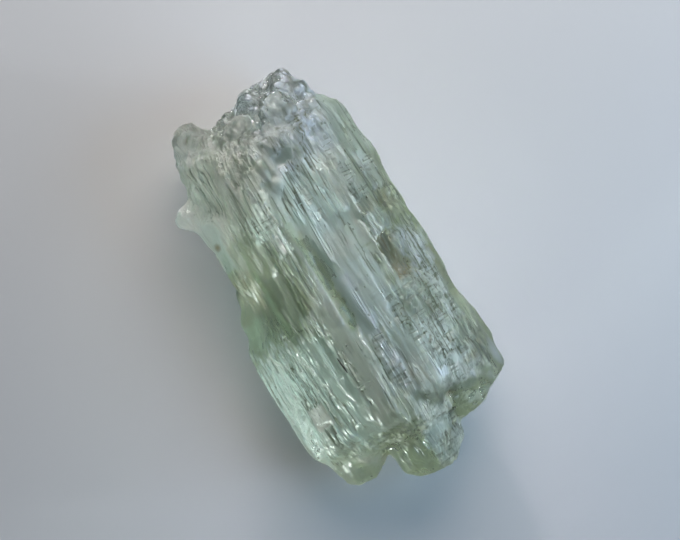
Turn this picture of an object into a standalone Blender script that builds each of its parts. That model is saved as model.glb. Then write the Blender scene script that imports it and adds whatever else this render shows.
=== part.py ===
"""An etched aquamarine (green beryl) crystal, lying on one of its prism faces.

The crystal is a single piece. It grew as a bundle of parallel six-sided columns that merged into one
another, and was then etched, so it is made the same way: main columns, small stepped columns for the
two lobed ends, thin ribs for the growth striations, and knobs, all fused into one solid whose surface
then swells and hollows in waves.

X runs along the crystal (its c-axis), Z is up, and the origin is the middle of the resting face.
Column sizes and places are in millimetres; the finished mesh is in metres.
"""

import math
import random
from typing import NamedTuple

import bmesh
import bpy
from mathutils import Matrix, Vector

# Driving dimensions of the whole crystal, in metres
LENGTH = 0.0306
WIDTH = 0.0159
HEIGHT = 0.0110

MM = 0.001
PIECE_NAME = "aquamarine_crystal"
SEED = 7

# Every column of a beryl bundle is a hexagon turned the same way, with a flat side down
HEXAGON_SIDES = 6
FLAT_SHARE = math.cos(math.pi / HEXAGON_SIDES)
CHAMFER_SHARE = 0.42

# The height where the lowest columns are cut to the flat face that the crystal rests on
FLOOR_CUT = 0.55

# How fine the fused solid is, how deep the narrow gaps between columns are filled from each side, and how
# much the etching softens it
VOXEL = 0.20
NARROW_GAP = 0.15
ETCH_SMOOTHING = 0.5
ETCH_PASSES = 4

# The etched sides swell and hollow in long waves, and are pitted in short ones: wavelengths along and
# across the crystal, and the depth from hollow to crest
WAVES = {
    "swell": ((9.0, 2.6), 0.75),
    "pitting": ((2.6, 1.1), 0.42),
}
TRIANGLES = 9000


class Column(NamedTuple):
    """A six-sided column along X: its centre, the radius to its corners, and where it starts and ends."""

    y: float
    z: float
    radius: float
    start: float
    end: float


class Knob(NamedTuple):
    """A rounded, etched lump: its centre and its three half sizes."""

    x: float
    y: float
    z: float
    half_x: float
    half_y: float
    half_z: float


# The bundle's large columns
MAIN_COLUMNS = {
    "core": Column(-0.6, 5.45, 6.0, -12.8, 12.2),
    "core_back": Column(0.8, 3.4, 3.9, -11.6, 10.8),
    "upper_shoulder": Column(2.5, 6.5, 3.0, -12.0, 11.4),
    "upper_flank": Column(3.0, 5.2, 3.5, -12.2, 12.3),
    "upper_edge": Column(4.7, 4.5, 2.4, 4.6, 12.3),
    "upper_edge_middle": Column(4.3, 4.9, 2.45, -2.2, 4.6),
    "lower_shoulder": Column(-3.7, 6.3, 3.1, -9.0, 11.2),
    "lower_flank_first": Column(-3.4, 4.9, 3.5, -4.4, 2.0),
    "lower_flank_second": Column(-3.9, 4.8, 4.0, -2.4, 6.0),
    "lower_flank": Column(-4.3, 4.7, 4.35, -0.6, 12.2),
    "lower_left": Column(-3.1, 5.6, 3.3, -13.2, -2.6),
    "tongue": Column(-0.8, 5.0, 2.8, 4.0, 15.5),
    "tongue_shoulder": Column(0.5, 5.2, 1.2, 6.0, 15.0),
    "upper_lobe": Column(3.1, 4.9, 2.1, 5.0, 13.2),
    "lower_lobe": Column(-5.8, 4.4, 1.8, 5.0, 13.8),
}

# Raised bars and plates on the front, which is the side that faces up
FRONT_COLUMNS = {
    "front_rib": Column(-2.1, 9.75, 1.5, -9.4, 11.0),
    "front_rib_step": Column(-3.4, 8.9, 1.3, -6.0, 8.5),
    "front_plate": Column(2.3, 9.3, 1.75, -7.6, 9.4),
    "front_plate_step": Column(1.3, 9.7, 1.25, 1.2, 10.4),
    "flank_plate": Column(4.3, 7.7, 1.3, 2.6, 10.8),
    "flank_plate_left": Column(4.3, 7.6, 1.2, -10.6, -1.4),
    "lower_plate": Column(-5.6, 7.6, 1.2, -8.4, -1.6),
}

# Silhouette of each end, seen from above, as (y, x) points
LEFT_END = (
    (-7.0, -9.0), (-6.2, -11.4), (-5.4, -13.4), (-4.2, -14.8), (-3.3, -14.6), (-2.6, -13.9), (-1.0, -13.8),
    (0.7, -14.5), (2.0, -14.9), (3.5, -15.3), (4.6, -14.1), (5.2, -12.4), (5.9, -11.4), (6.6, -9.6),
)  # fmt: skip
RIGHT_END = (
    (-8.7, 9.8), (-8.0, 11.2), (-7.1, 12.9), (-6.0, 13.9), (-5.2, 13.6), (-4.3, 12.4), (-3.6, 13.2),
    (-2.6, 15.0), (-1.2, 15.7), (0.2, 15.5), (1.5, 14.6), (2.3, 12.9), (3.6, 13.2), (5.2, 12.7),
    (6.4, 12.0), (7.1, 11.4),
)  # fmt: skip

# Both ends slope back from their furthest reach, at this height, towards the top and the bottom
END_REACH_HEIGHT = 4.4
SLOPE_TO_TOP = 0.58
SLOPE_TO_BOTTOM = 0.75

# A rounded lump is as long as this share of its half width from its middle
SHOULDER = 0.7

# The short columns of the ends stand in staggered rows
TIP_SPACING = 1.5
TIP_RADII = (0.85, 1.3)
TIP_JITTER = 0.35
TIP_ROOT = 8.0

# Thin ribs on the sides of the large columns
RIB_RADII = (0.35, 0.80)
RIB_STANDS_OUT = (0.12, 0.36)
RIB_LENGTHS = (3.0, 12.0)
RIB_SPACING = 0.85
RIB_PLACE_IN_SPACING = (0.2, 0.8)
RIB_CLEAR_OF_ENDS = 1.5

# The etched crust of small lumps over the left end: its heights, and the lumps' sizes
CRUST_HEIGHTS = (1.6, 10.2)
CRUST_SPACING = 1.15
CRUST_RADII = (0.45, 0.95)
CRUST_STANDS_OUT = 0.35

# Single knobs that stand out of the sides and the ends
KNOB_SUBDIVISIONS = 2
KNOBS = {
    "side_knob": Knob(-9.2, -7.10, 6.4, 1.20, 1.15, 1.20),
    "side_knob_neck": Knob(-7.6, -6.4, 6.2, 1.80, 0.80, 1.50),
    "side_knob_root": Knob(-9.6, -6.2, 6.0, 1.10, 0.90, 1.20),
    "corner_knob": Knob(-13.9, -4.2, 6.2, 1.00, 1.10, 1.10),
    "corner_knob_low": Knob(-12.8, -4.7, 4.9, 1.25, 0.80, 1.20),
    "rib_knob": Knob(-9.0, -1.6, 10.1, 1.10, 0.95, 0.90),
    "top_knob": Knob(-14.3, 3.1, 5.4, 0.90, 1.10, 1.20),
    "notch_knob": Knob(-13.6, 1.0, 6.4, 0.85, 0.90, 0.90),
    "notch_knob_low": Knob(-13.1, -1.8, 5.6, 0.80, 1.20, 1.10),
    "crust_corner": Knob(-12.7, 3.9, 5.8, 1.00, 0.95, 1.20),
}


def clear_scene():
    """Removes whatever the opened scene holds."""
    for thing in list(bpy.data.objects):
        bpy.data.objects.remove(thing, do_unlink=True)


def along_profile(profile, y):
    """The x of an end's silhouette at y, read off straight lines between its points."""
    if y <= profile[0][0]:
        return profile[0][1]
    for (y0, x0), (y1, x1) in zip(profile, profile[1:]):
        if y <= y1:
            return x0 + (x1 - x0) * (y - y0) / (y1 - y0)
    return profile[-1][1]


def reach_across(profile, side, y, half_width):
    """How far something this wide can stand out towards an end and stay inside its silhouette."""
    across = (y - SHOULDER * half_width, y, y + SHOULDER * half_width)
    return side * min(side * along_profile(profile, place) for place in across)


def end_setback(z):
    """How far an end stands back from its silhouette at height z."""
    if z > END_REACH_HEIGHT:
        return SLOPE_TO_TOP * (z - END_REACH_HEIGHT)
    return SLOPE_TO_BOTTOM * (END_REACH_HEIGHT - z)


def inside_bundle(x, y, z, margin):
    """True where a point lies in one of the large columns, this far from its sides."""
    for column in MAIN_COLUMNS.values():
        across, up = abs(y - column.y), abs(z - column.z)
        reach = column.radius * FLAT_SHARE - margin
        beside = max(up, across * FLAT_SHARE + up / 2)
        if column.start < x < column.end and beside < reach:
            return True
    return False


def add_column(mesh, column):
    """Adds a column with chamfered ends to the bmesh."""
    chamfer = column.radius * CHAMFER_SHARE
    length = column.end - column.start - 2 * chamfer
    middle = (column.start + column.end) / 2
    along_x = Matrix.Rotation(math.radians(90), 4, "Y")
    place = Matrix.Translation(Vector((middle, column.y, column.z)) * MM) @ along_x
    made = bmesh.ops.create_cone(
        mesh,
        cap_ends=True,
        segments=HEXAGON_SIDES,
        radius1=column.radius * MM,
        radius2=column.radius * MM,
        depth=length * MM,
        matrix=place,
    )
    faces = {face for vertex in made["verts"] for face in vertex.link_faces}
    for cap in [face for face in faces if len(face.verts) == HEXAGON_SIDES]:
        bmesh.ops.inset_region(mesh, faces=[cap], thickness=chamfer * MM, depth=chamfer * MM)


def add_knob(mesh, knob):
    """Adds a rounded lump to the bmesh."""
    place = Matrix.Translation(Vector((knob.x, knob.y, knob.z)) * MM)
    size = Matrix.Diagonal((knob.half_x * MM, knob.half_y * MM, knob.half_z * MM, 1.0))
    bmesh.ops.create_icosphere(mesh, subdivisions=KNOB_SUBDIVISIONS, radius=1.0, matrix=place @ size)


def add_crust(mesh, profile, side, chance):
    """Scatters small etched lumps over the sloping front of one end."""
    low, high = CRUST_HEIGHTS
    rows = int((high - low) / CRUST_SPACING) + 1
    first, last = profile[0][0], profile[-1][0]
    per_row = int((last - first) / CRUST_SPACING) + 1
    for row in range(rows):
        for place in range(per_row):
            y = first + (place + chance.random()) * CRUST_SPACING
            z = low + (row + chance.random()) * CRUST_SPACING
            if not inside_bundle(side * TIP_ROOT, y, z, CRUST_STANDS_OUT):
                continue
            sizes = [chance.uniform(*CRUST_RADII) for axis in range(3)]
            reach = reach_across(profile, side, y, sizes[1])
            x = reach - side * (end_setback(z) + sizes[0] - CRUST_STANDS_OUT)
            add_knob(mesh, Knob(x, y, z, *sizes))


def add_end_tips(mesh, profile, side, chance):
    """Adds the short columns that give one end its lobes and terraces. side is -1 or 1, the way it points."""
    half_width, height = WIDTH / MM / 2, HEIGHT / MM
    rows = int(height / TIP_SPACING) + 1
    per_row = int(2 * half_width / TIP_SPACING) + 1
    for row in range(rows):
        for place in range(per_row):
            offset = TIP_SPACING / 2 if row % 2 else 0.0
            y = -half_width + offset + place * TIP_SPACING + chance.uniform(-TIP_JITTER, TIP_JITTER)
            z = TIP_SPACING / 2 + row * TIP_SPACING + chance.uniform(-TIP_JITTER, TIP_JITTER)
            radius = chance.uniform(*TIP_RADII)
            root = side * TIP_ROOT
            if not inside_bundle(root, y, z, radius * FLAT_SHARE):
                continue
            reach = reach_across(profile, side, y, radius) - side * end_setback(z)
            tip = reach - side * abs(chance.gauss(0.0, TIP_JITTER))
            add_column(mesh, Column(y, z, radius, min(root, tip), max(root, tip)))


def add_ribs(mesh, host, chance):
    """Adds thin ribs along the six sides of a column: the growth striations."""
    distance = host.radius * FLAT_SHARE
    for side in range(HEXAGON_SIDES):
        facing = 2 * math.pi * side / HEXAGON_SIDES
        outward = Vector((0.0, math.sin(facing), math.cos(facing)))
        along_side = Vector((0.0, math.cos(facing), -math.sin(facing)))
        for step in range(int(host.radius / RIB_SPACING)):
            radius = chance.uniform(*RIB_RADII)
            inset = radius * FLAT_SHARE - chance.uniform(*RIB_STANDS_OUT)
            offset = (step + chance.uniform(*RIB_PLACE_IN_SPACING)) * RIB_SPACING - host.radius / 2
            centre = Vector((0.0, host.y, host.z)) + outward * (distance - inset) + along_side * offset
            room = host.end - host.start - 2 * RIB_CLEAR_OF_ENDS
            length = min(chance.uniform(*RIB_LENGTHS), room)
            start = host.start + RIB_CLEAR_OF_ENDS + chance.uniform(0.0, room - length)
            add_column(mesh, Column(centre.y, centre.z, radius, start, start + length))


def make_bundle():
    """All the columns and knobs in one mesh object, still overlapping."""
    chance = random.Random(SEED)
    shape = bmesh.new()
    for column in [*MAIN_COLUMNS.values(), *FRONT_COLUMNS.values()]:
        add_column(shape, column)
    for column in MAIN_COLUMNS.values():
        add_ribs(shape, column, chance)
    add_end_tips(shape, LEFT_END, -1, chance)
    add_end_tips(shape, RIGHT_END, 1, chance)
    add_crust(shape, LEFT_END, -1, chance)
    for knob in KNOBS.values():
        add_knob(shape, knob)
    mesh = bpy.data.meshes.new(PIECE_NAME)
    shape.to_mesh(mesh)
    shape.free()
    return bpy.data.objects.new(PIECE_NAME, mesh)


def fuse_and_etch(crystal, floor_cutter):
    """Fuses the bundle into one solid, softens it as etching does, and cuts its resting face flat."""
    add_fuse(crystal, "fuse_columns")
    for name, (wavelengths, depth) in WAVES.items():
        add_waves(crystal, name, wavelengths, depth)
    add_offset(crystal, "fill_gaps", NARROW_GAP)
    add_fuse(crystal, "fuse_gaps")
    add_offset(crystal, "back_to_size", -NARROW_GAP)
    add_fuse(crystal, "fuse_folds")
    etch = crystal.modifiers.new("etch", "SMOOTH")
    etch.factor = ETCH_SMOOTHING
    etch.iterations = ETCH_PASSES
    facets = crystal.modifiers.new("facets", "DECIMATE")
    facets.use_collapse_triangulate = True
    facets.ratio = TRIANGLES / evaluated_triangles(crystal)
    rest = crystal.modifiers.new("resting_face", "BOOLEAN")
    rest.operation = "DIFFERENCE"
    rest.object = floor_cutter


def add_fuse(crystal, name):
    """Makes one closed surface of everything that overlaps."""
    fuse = crystal.modifiers.new(name, "REMESH")
    fuse.mode = "VOXEL"
    fuse.voxel_size = VOXEL * MM


def add_offset(crystal, name, distance):
    """Moves the whole surface out, or in where the distance is negative."""
    offset = crystal.modifiers.new(name, "DISPLACE")
    offset.mid_level = 0.0
    offset.strength = distance * MM


def add_waves(crystal, name, wavelengths, depth):
    """Pushes the surface in and out by a cloudy pattern that is stretched along the crystal."""
    along, across = wavelengths
    guide = bpy.data.objects.new(f"{name}_guide", None)
    guide.scale = Vector((along, across, across)) * MM
    bpy.data.collections["guides"].objects.link(guide)
    pattern = bpy.data.textures.new(name, "CLOUDS")
    pattern.noise_scale = 1.0
    pattern.noise_depth = 1
    waves = crystal.modifiers.new(name, "DISPLACE")
    waves.texture = pattern
    waves.texture_coords = "OBJECT"
    waves.texture_coords_object = guide
    waves.strength = depth * MM


def evaluated_triangles(thing):
    """The number of triangles in an object's mesh after its modifiers."""
    bpy.context.view_layer.update()
    graph = bpy.context.evaluated_depsgraph_get()
    evaluated = thing.evaluated_get(graph)
    mesh = evaluated.to_mesh()
    mesh.calc_loop_triangles()
    count = len(mesh.loop_triangles)
    evaluated.to_mesh_clear()
    return count


def make_floor_cutter():
    """A block whose top is the plane that the crystal rests on."""
    size = Vector((2 * LENGTH, 2 * WIDTH, HEIGHT))
    middle = Vector((0.0, 0.0, FLOOR_CUT * MM - size.z / 2))
    block = bmesh.new()
    bmesh.ops.create_cube(block, size=1.0, matrix=Matrix.Translation(middle) @ Matrix.Diagonal((*size, 1.0)))
    mesh = bpy.data.meshes.new("floor_cutter")
    block.to_mesh(mesh)
    block.free()
    cutter = bpy.data.objects.new("floor_cutter", mesh)
    cutter.hide_render = True
    cutter.display_type = "WIRE"
    return cutter


def drop_specks(mesh):
    """Keeps only the mesh's largest connected body: decimating can pinch off a speck of a few faces."""
    shape = bmesh.new()
    shape.from_mesh(mesh)
    left = set(shape.verts)
    bodies = []
    while left:
        body, edge_of_body = set(), {left.pop()}
        while edge_of_body:
            body |= edge_of_body
            near = {edge.other_vert(vertex) for vertex in edge_of_body for edge in vertex.link_edges}
            edge_of_body = near - body
        left -= body
        bodies.append(body)
    bodies.sort(key=len)
    for speck in bodies[:-1]:
        bmesh.ops.delete(shape, geom=list(speck), context="VERTS")
    shape.to_mesh(mesh)
    shape.free()


def fit_to_size(mesh):
    """Puts the mesh's box on the driving dimensions, centred, with its lowest face at z = 0."""
    corners = [vertex.co for vertex in mesh.vertices]
    low = Vector(min(corner[axis] for corner in corners) for axis in range(3))
    high = Vector(max(corner[axis] for corner in corners) for axis in range(3))
    foot = Vector(((low.x + high.x) / 2, (low.y + high.y) / 2, low.z))
    scale = (LENGTH / (high.x - low.x), WIDTH / (high.y - low.y), HEIGHT / (high.z - low.z), 1.0)
    mesh.transform(Matrix.Diagonal(scale) @ Matrix.Translation(-foot))


def make_beryl():
    """Pale green, clear beryl."""
    beryl = bpy.data.materials.new("aquamarine")
    beryl.use_nodes = True
    surface = beryl.node_tree.nodes["Principled BSDF"]
    surface.inputs["Base Color"].default_value = (0.62, 0.74, 0.64, 1.0)
    surface.inputs["Roughness"].default_value = 0.12
    surface.inputs["Metallic"].default_value = 0.0
    surface.inputs["IOR"].default_value = 1.577
    surface.inputs["Transmission Weight"].default_value = 0.9
    return beryl


def main():
    """Builds the crystal."""
    clear_scene()
    parts = bpy.data.collections.new("aquamarine")
    guides = bpy.data.collections.new("guides")
    for collection in (parts, guides):
        bpy.context.scene.collection.children.link(collection)

    bundle = make_bundle()
    parts.objects.link(bundle)
    cutter = make_floor_cutter()
    guides.objects.link(cutter)
    fuse_and_etch(bundle, cutter)

    bpy.context.view_layer.update()
    graph = bpy.context.evaluated_depsgraph_get()
    mesh = bpy.data.meshes.new_from_object(bundle.evaluated_get(graph))
    drop_specks(mesh)
    fit_to_size(mesh)
    mesh.materials.clear()
    mesh.materials.append(make_beryl())
    bpy.data.objects.remove(bundle)
    crystal = bpy.data.objects.new(PIECE_NAME, mesh)
    parts.objects.link(crystal)


main()
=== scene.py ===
"""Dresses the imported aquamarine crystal: its etched, see-through surface, what lies inside it, and the set.

X runs along the crystal (its c-axis), Y across it and Z up, away from the face it rests on. Shapes are worked
out in millimetres, and turned into metres when a mesh is written.
"""

import logging
import math
from abc import ABC, abstractmethod
from dataclasses import dataclass, field
from enum import Enum
from typing import Any

import bmesh
import bpy
import numpy as np
from mathutils import Matrix, Vector


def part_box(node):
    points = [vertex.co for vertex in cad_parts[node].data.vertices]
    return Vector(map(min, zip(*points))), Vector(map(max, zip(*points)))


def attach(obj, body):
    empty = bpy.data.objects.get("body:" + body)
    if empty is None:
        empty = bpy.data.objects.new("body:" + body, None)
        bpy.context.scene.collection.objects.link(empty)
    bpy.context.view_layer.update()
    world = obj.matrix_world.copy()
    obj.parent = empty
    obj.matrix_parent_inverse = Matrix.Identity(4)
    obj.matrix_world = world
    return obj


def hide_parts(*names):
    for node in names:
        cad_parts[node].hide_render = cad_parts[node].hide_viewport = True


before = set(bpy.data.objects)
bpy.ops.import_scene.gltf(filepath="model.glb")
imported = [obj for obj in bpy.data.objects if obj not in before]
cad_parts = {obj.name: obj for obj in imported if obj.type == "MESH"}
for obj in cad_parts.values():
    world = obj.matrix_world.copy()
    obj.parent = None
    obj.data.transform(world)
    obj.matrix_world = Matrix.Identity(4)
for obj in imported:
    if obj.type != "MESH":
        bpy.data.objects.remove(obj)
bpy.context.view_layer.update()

MM = 0.001
CRYSTAL_NODE = "aquamarine_crystal"

log = logging.getLogger("aquamarine")

Array = np.ndarray
Colour = tuple[float, float, float]
Triple = tuple[float, float, float]


def clipped(value: Array) -> Array:
    """The value held between 0 and 1."""
    return np.clip(value, 0.0, 1.0)


def smooth_step(value: Array, start: float, end: float) -> Array:
    """Rises from 0 at start to 1 at end, with level ends: 3t^2 - 2t^3.

    Args:
        value: Where the curve is read.
        start: The value where it leaves 0.
        end: The value where it reaches 1. It may be below start, and the curve then falls.

    Returns:
        Numbers from 0 to 1, one for each value.
    """
    share = clipped((value - start) / (end - start))
    return share * share * (3.0 - 2.0 * share)


def between(value: Array, low: float, high: float, soft: float) -> Array:
    """1 between low and high, and 0 outside, with edges that are soft wide.

    Args:
        value: Where the window is read.
        low: The middle of the rising edge.
        high: The middle of the falling edge.
        soft: How wide each edge is.

    Returns:
        Numbers from 0 to 1, one for each value.
    """
    rise = smooth_step(value, low - soft / 2, low + soft / 2)
    return rise * smooth_step(value, high + soft / 2, high - soft / 2)


@dataclass(frozen=True)
class Grain:
    """Random numbers on a lattice that repeats, read as smooth noise, as bricks or as lumps."""

    seed: int
    size: int = 32

    @property
    def table(self) -> Array:
        """The lattice: size^3 numbers from 0 to 1, the same for the same seed."""
        return np.random.default_rng(self.seed).random((self.size, self.size, self.size))

    def smooth(self, place: Array) -> Array:
        """Value noise: the eight lattice numbers round a point, blended by smooth steps along each axis.

        Args:
            place: The points' coordinates in lattice steps, 3 x rings x columns.

        Returns:
            Noise from 0 to 1.
        """
        table = self.table
        low = np.floor(place).astype(int)
        share = smooth_step(place - low, 0.0, 1.0)
        total = np.zeros(place.shape[1:])
        for corner in np.ndindex(2, 2, 2):
            weight = np.prod([s if bit else 1.0 - s for s, bit in zip(share, corner)], axis=0)
            i, j, k = ((start + bit) % self.size for start, bit in zip(low, corner))
            total += weight * table[i, j, k]
        return total

    def bricks(self, along: Array, across: Array) -> Array:
        """One random number for each brick of a wall whose rows are shifted and stretched at random.

        A row has 0.6 to 1.5 bricks in each brick length.

        Args:
            along: Coordinate along the rows, in brick lengths.
            across: Coordinate across the rows, in brick widths.

        Returns:
            Numbers from 0 to 1, level over each brick.
        """
        table = self.table
        row = np.floor(across).astype(int) % self.size
        stretch = 0.6 + 0.9 * table[row, 0, 1]
        column = np.floor(along * stretch + self.size * table[row, 1, 0]).astype(int) % self.size
        return table[column, row, 2]

    def lumps(self, place: Array) -> Array:
        """Rounded lumps round random centres: 1 - d^2 at distance d from the nearest centre, never below 0.

        Args:
            place: The points' coordinates in lump widths, 3 x rings x columns.

        Returns:
            Numbers from 0 to 1.
        """
        table = self.table
        base = np.floor(place).astype(int)
        nearest = np.full(place.shape[1:], 9.0)
        for step in np.ndindex(3, 3, 3):
            cell = base + np.reshape(step, (3, 1, 1)) - 1
            i, j, k = cell % self.size
            centre = cell + np.stack([table[i, j, k], table[j, k, i], table[k, i, j]])
            nearest = np.minimum(nearest, ((place - centre) ** 2).sum(axis=0))
        return clipped(1.0 - nearest)


@dataclass(frozen=True)
class Steps:
    """Random levels over bricks, whose length, width and depth are in millimetres."""

    seed: int
    length: float
    width: float
    depth: float

    def level(self, along: Array, across: Array) -> Array:
        """Each point's level, from -depth / 2 to depth / 2."""
        return self.depth * (Grain(self.seed).bricks(along / self.length, across / self.width) - 0.5)


@dataclass(frozen=True)
class Lumps:
    """Rounded lumps of this length, width and height in millimetres, with a share of the height sunk."""

    seed: int
    length: float
    width: float
    height: float = 1.0
    sunk: float = 0.0

    def level(self, skin: "SkinPoints") -> Array:
        """Each point's height."""
        return self.height * (Grain(self.seed).lumps(skin.scaled(self.length, self.width)) - self.sunk)


def levels(steps: tuple[Steps, ...], along: Array, across: Array) -> Array:
    """The sum of several patterns of steps."""
    return sum(step.level(along, across) for step in steps)


@dataclass(frozen=True, kw_only=True)
class Marking(ABC):
    """One place on the front of the crystal, and what it does there.

    Height is in millimetres, and the other effects are shares that add up where places overlap. Calm takes
    the general pattern away, frost roughens and whitens, and haze whitens evenly. Marks brings fine lines
    and pits, lumps the crust, grit small chunks, cross short steps, and facets shell-shaped hollows. The
    others are tones: the olive one also paints shade in grooves and hollows, and the mint and lavender ones
    also paint highlights and glints.
    """

    height: float = 0.0
    calm: float = 0.0
    frost: float = 0.0
    haze: float = 0.0
    marks: float = 0.0
    lumps: float = 0.0
    grit: float = 0.0
    cross: float = 0.0
    facets: float = 0.0
    deep: float = 0.0
    teal: float = 0.0
    mint_and_highlight: float = 0.0
    lavender_and_glint: float = 0.0
    blush: float = 0.0
    stain: float = 0.0

    @abstractmethod
    def over(self, skin: "SkinPoints") -> Array:
        """How much of each point the marking takes, from 0 to 1."""


@dataclass(frozen=True)
class Patch(Marking):
    """A four-sided patch of the side that faces up, in millimetres, with ragged edges.

    It lies between two x and two y. With a lean, y rises by that much for each millimetre of x.
    """

    x_from: float
    x_to: float
    y_from: float
    y_to: float
    soft: float = 0.3
    ragged: float = 0.2
    lean: float = 0.0

    def over(self, skin: "SkinPoints") -> Array:
        """1 inside and 0 outside, with a border that wavers by ragged and is soft wide."""
        x = skin.x + self.ragged * skin.waver_x
        y = skin.y + self.ragged * skin.waver_y - self.lean * (skin.x - self.x_from)
        inside = between(x, self.x_from, self.x_to, self.soft) * between(y, self.y_from, self.y_to, self.soft)
        return inside * skin.upper


@dataclass(frozen=True)
class Boss(Marking):
    """A round or oval place on the side that faces up: 1 in the middle, falling as a dome to its rim."""

    x: float
    y: float
    x_radius: float
    y_radius: float

    def over(self, skin: "SkinPoints") -> Array:
        """(1 - d^2)^0.7 at the share d of the way from the middle to the rim."""
        away = ((skin.x - self.x) / self.x_radius) ** 2 + ((skin.y - self.y) / self.y_radius) ** 2
        return clipped(1.0 - away) ** 0.7 * skin.upper


@dataclass(frozen=True)
class Stroke(Marking):
    """A straight line on the side that faces up, from one point to another, thinning out at its ends."""

    x_from: float
    y_from: float
    x_to: float
    y_to: float
    width: float = 0.10
    waver: float = 0.08

    def over(self, skin: "SkinPoints") -> Array:
        """e^-(d/w)^2 at the distance d from the line."""
        run_x, run_y = self.x_to - self.x_from, self.y_to - self.y_from
        length = math.hypot(run_x, run_y)
        x, y = skin.x - self.x_from, skin.y - self.y_from
        along = (x * run_x + y * run_y) / length
        across = (y * run_x - x * run_y) / length + self.waver * skin.waver_y
        inside = between(along, 0.0, length, min(0.5, 0.4 * length))
        return np.exp(-((across / self.width) ** 2)) * inside * skin.upper


LEFT_END = (
    Patch(-15.6, -11.6, -1.4, 5.7, soft=1.2, lumps=1.0, lavender_and_glint=0.3, grit=0.3, calm=0.7),
    # Painted glints: the next three patches are lavender-white over the crust's grit.
    Patch(-14.2, -12.3, 4.7, 5.5, frost=0.2, lavender_and_glint=1.0, grit=0.9, haze=0.3),
    Patch(-14.3, -13.0, 3.9, 4.7, frost=0.2, lavender_and_glint=0.9, grit=0.9, haze=0.3),
    Patch(-11.9, -10.0, 3.5, 4.9, soft=0.6, frost=0.2, lavender_and_glint=0.8, grit=0.5, lumps=1.0, haze=0.3),
    Patch(-13.5, -12.4, 2.6, 3.6, soft=0.1, ragged=0.1, height=0.12, lavender_and_glint=0.6, frost=0.4, calm=0.6),
    Patch(-12.5, -11.6, 2.2, 4.0, teal=0.3, frost=0.45),
    Stroke(-13.9, 2.3, -12.1, 2.4, height=0.1, frost=0.9),
    Boss(-12.9, 0.2, 0.85, 1.15, height=0.3, blush=0.6, frost=0.5, grit=0.2, calm=0.6, haze=0.3),
    Patch(-15.2, -12.6, -4.9, -1.9, soft=0.6, frost=0.3, blush=0.4, lumps=0.9, grit=0.5),
    # Painted glint: a white frosted spot on the lower lobe.
    Boss(-13.8, -3.9, 0.5, 0.6, frost=1.0, calm=1.0),
    Stroke(-14.3, -3.3, -13.9, -3.7, height=-0.15, stain=0.8),
    Patch(-12.8, -7.4, -5.3, -0.5, soft=0.7, frost=0.42, deep=0.35),
    Patch(-12.6, -10.8, -3.2, -2.3, deep=0.5),
    Patch(-10.0, -8.4, -2.9, -1.9, frost=0.5, blush=0.3),
    Patch(-12.4, -9.6, -5.9, -4.8, deep=0.7, grit=0.8),
    Boss(-9.3, -6.5, 1.4, 1.3, frost=0.75, blush=0.2, grit=0.5, calm=1.0),
    Patch(-8.3, -4.6, -6.4, -5.0, teal=0.6, calm=0.9),
    Boss(-6.5, -5.6, 0.35, 0.28, stain=1.0),
)

UPPER_LEFT = (
    Patch(-12.6, -4.2, 5.7, 7.5, deep=0.25, calm=0.5),
    Stroke(-11.6, 6.3, -5.4, 6.85, height=0.08, frost=0.3),
    Stroke(-10.6, 6.7, -6.6, 6.95, height=-0.08, deep=0.5),
    Patch(-7.4, -4.3, 5.95, 6.8, teal=0.5, lavender_and_glint=0.3, frost=0.3, cross=0.4),
    Stroke(-6.8, 6.05, -5.6, 6.05, height=0.08, frost=0.8),
    Stroke(-14.2, 5.5, -9.6, 5.5, height=0.12, frost=0.5),
    Stroke(-11.0, 3.75, -6.2, 3.75, width=0.08, height=0.08, frost=0.5),
    Patch(-12.0, -8.4, 0.8, 5.3, soft=0.6, lavender_and_glint=0.35, teal=0.6, frost=0.25, cross=0.4),
    Patch(-9.9, -8.9, 1.2, 2.5, soft=0.12, lean=-0.4, height=-0.14, teal=1.0, deep=0.5, calm=1.0),
    Patch(-9.6, -7.0, 4.4, 5.0, soft=0.12, lean=0.2, height=0.1, frost=0.75, calm=0.8),
    Patch(-9.4, -7.9, 4.0, 4.3, frost=0.5),
    Patch(-8.6, -4.5, 3.6, 5.6, soft=0.5, cross=0.5, blush=0.2, frost=0.2),
    Patch(-8.6, -4.2, 0.9, 2.0, lean=0.38, frost=0.65, grit=0.8, haze=0.7, marks=-0.3),
    Patch(-7.0, -4.3, 1.0, 2.6, frost=0.55, grit=0.7),
    Stroke(-8.5, 1.9, -6.3, 2.8, height=-0.16, deep=0.7),
    Stroke(-10.6, 0.4, -8.6, 1.1, width=0.16, frost=0.7),
    Patch(-10.4, -7.6, 0.0, 0.9, lean=0.05, frost=0.4, calm=0.7),
    Patch(-5.2, -4.2, 4.3, 5.7, teal=0.5, frost=0.2),
    Patch(-4.2, -3.1, 4.4, 5.3, soft=0.1, height=-0.22, stain=0.4, grit=0.4),
    Stroke(-4.95, 4.3, -3.5, 4.3, width=0.14, frost=0.9),
    Patch(-3.1, -1.5, 4.2, 5.6, soft=0.12, teal=0.6, lavender_and_glint=0.2, height=-0.08, cross=0.3),
    Patch(-4.3, -2.6, 5.8, 7.0, ragged=0.5, height=-0.2, stain=0.35, deep=0.4),
    Patch(-3.2, -2.0, 6.2, 7.1, blush=0.3, calm=0.6, frost=0.1),
)

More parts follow.
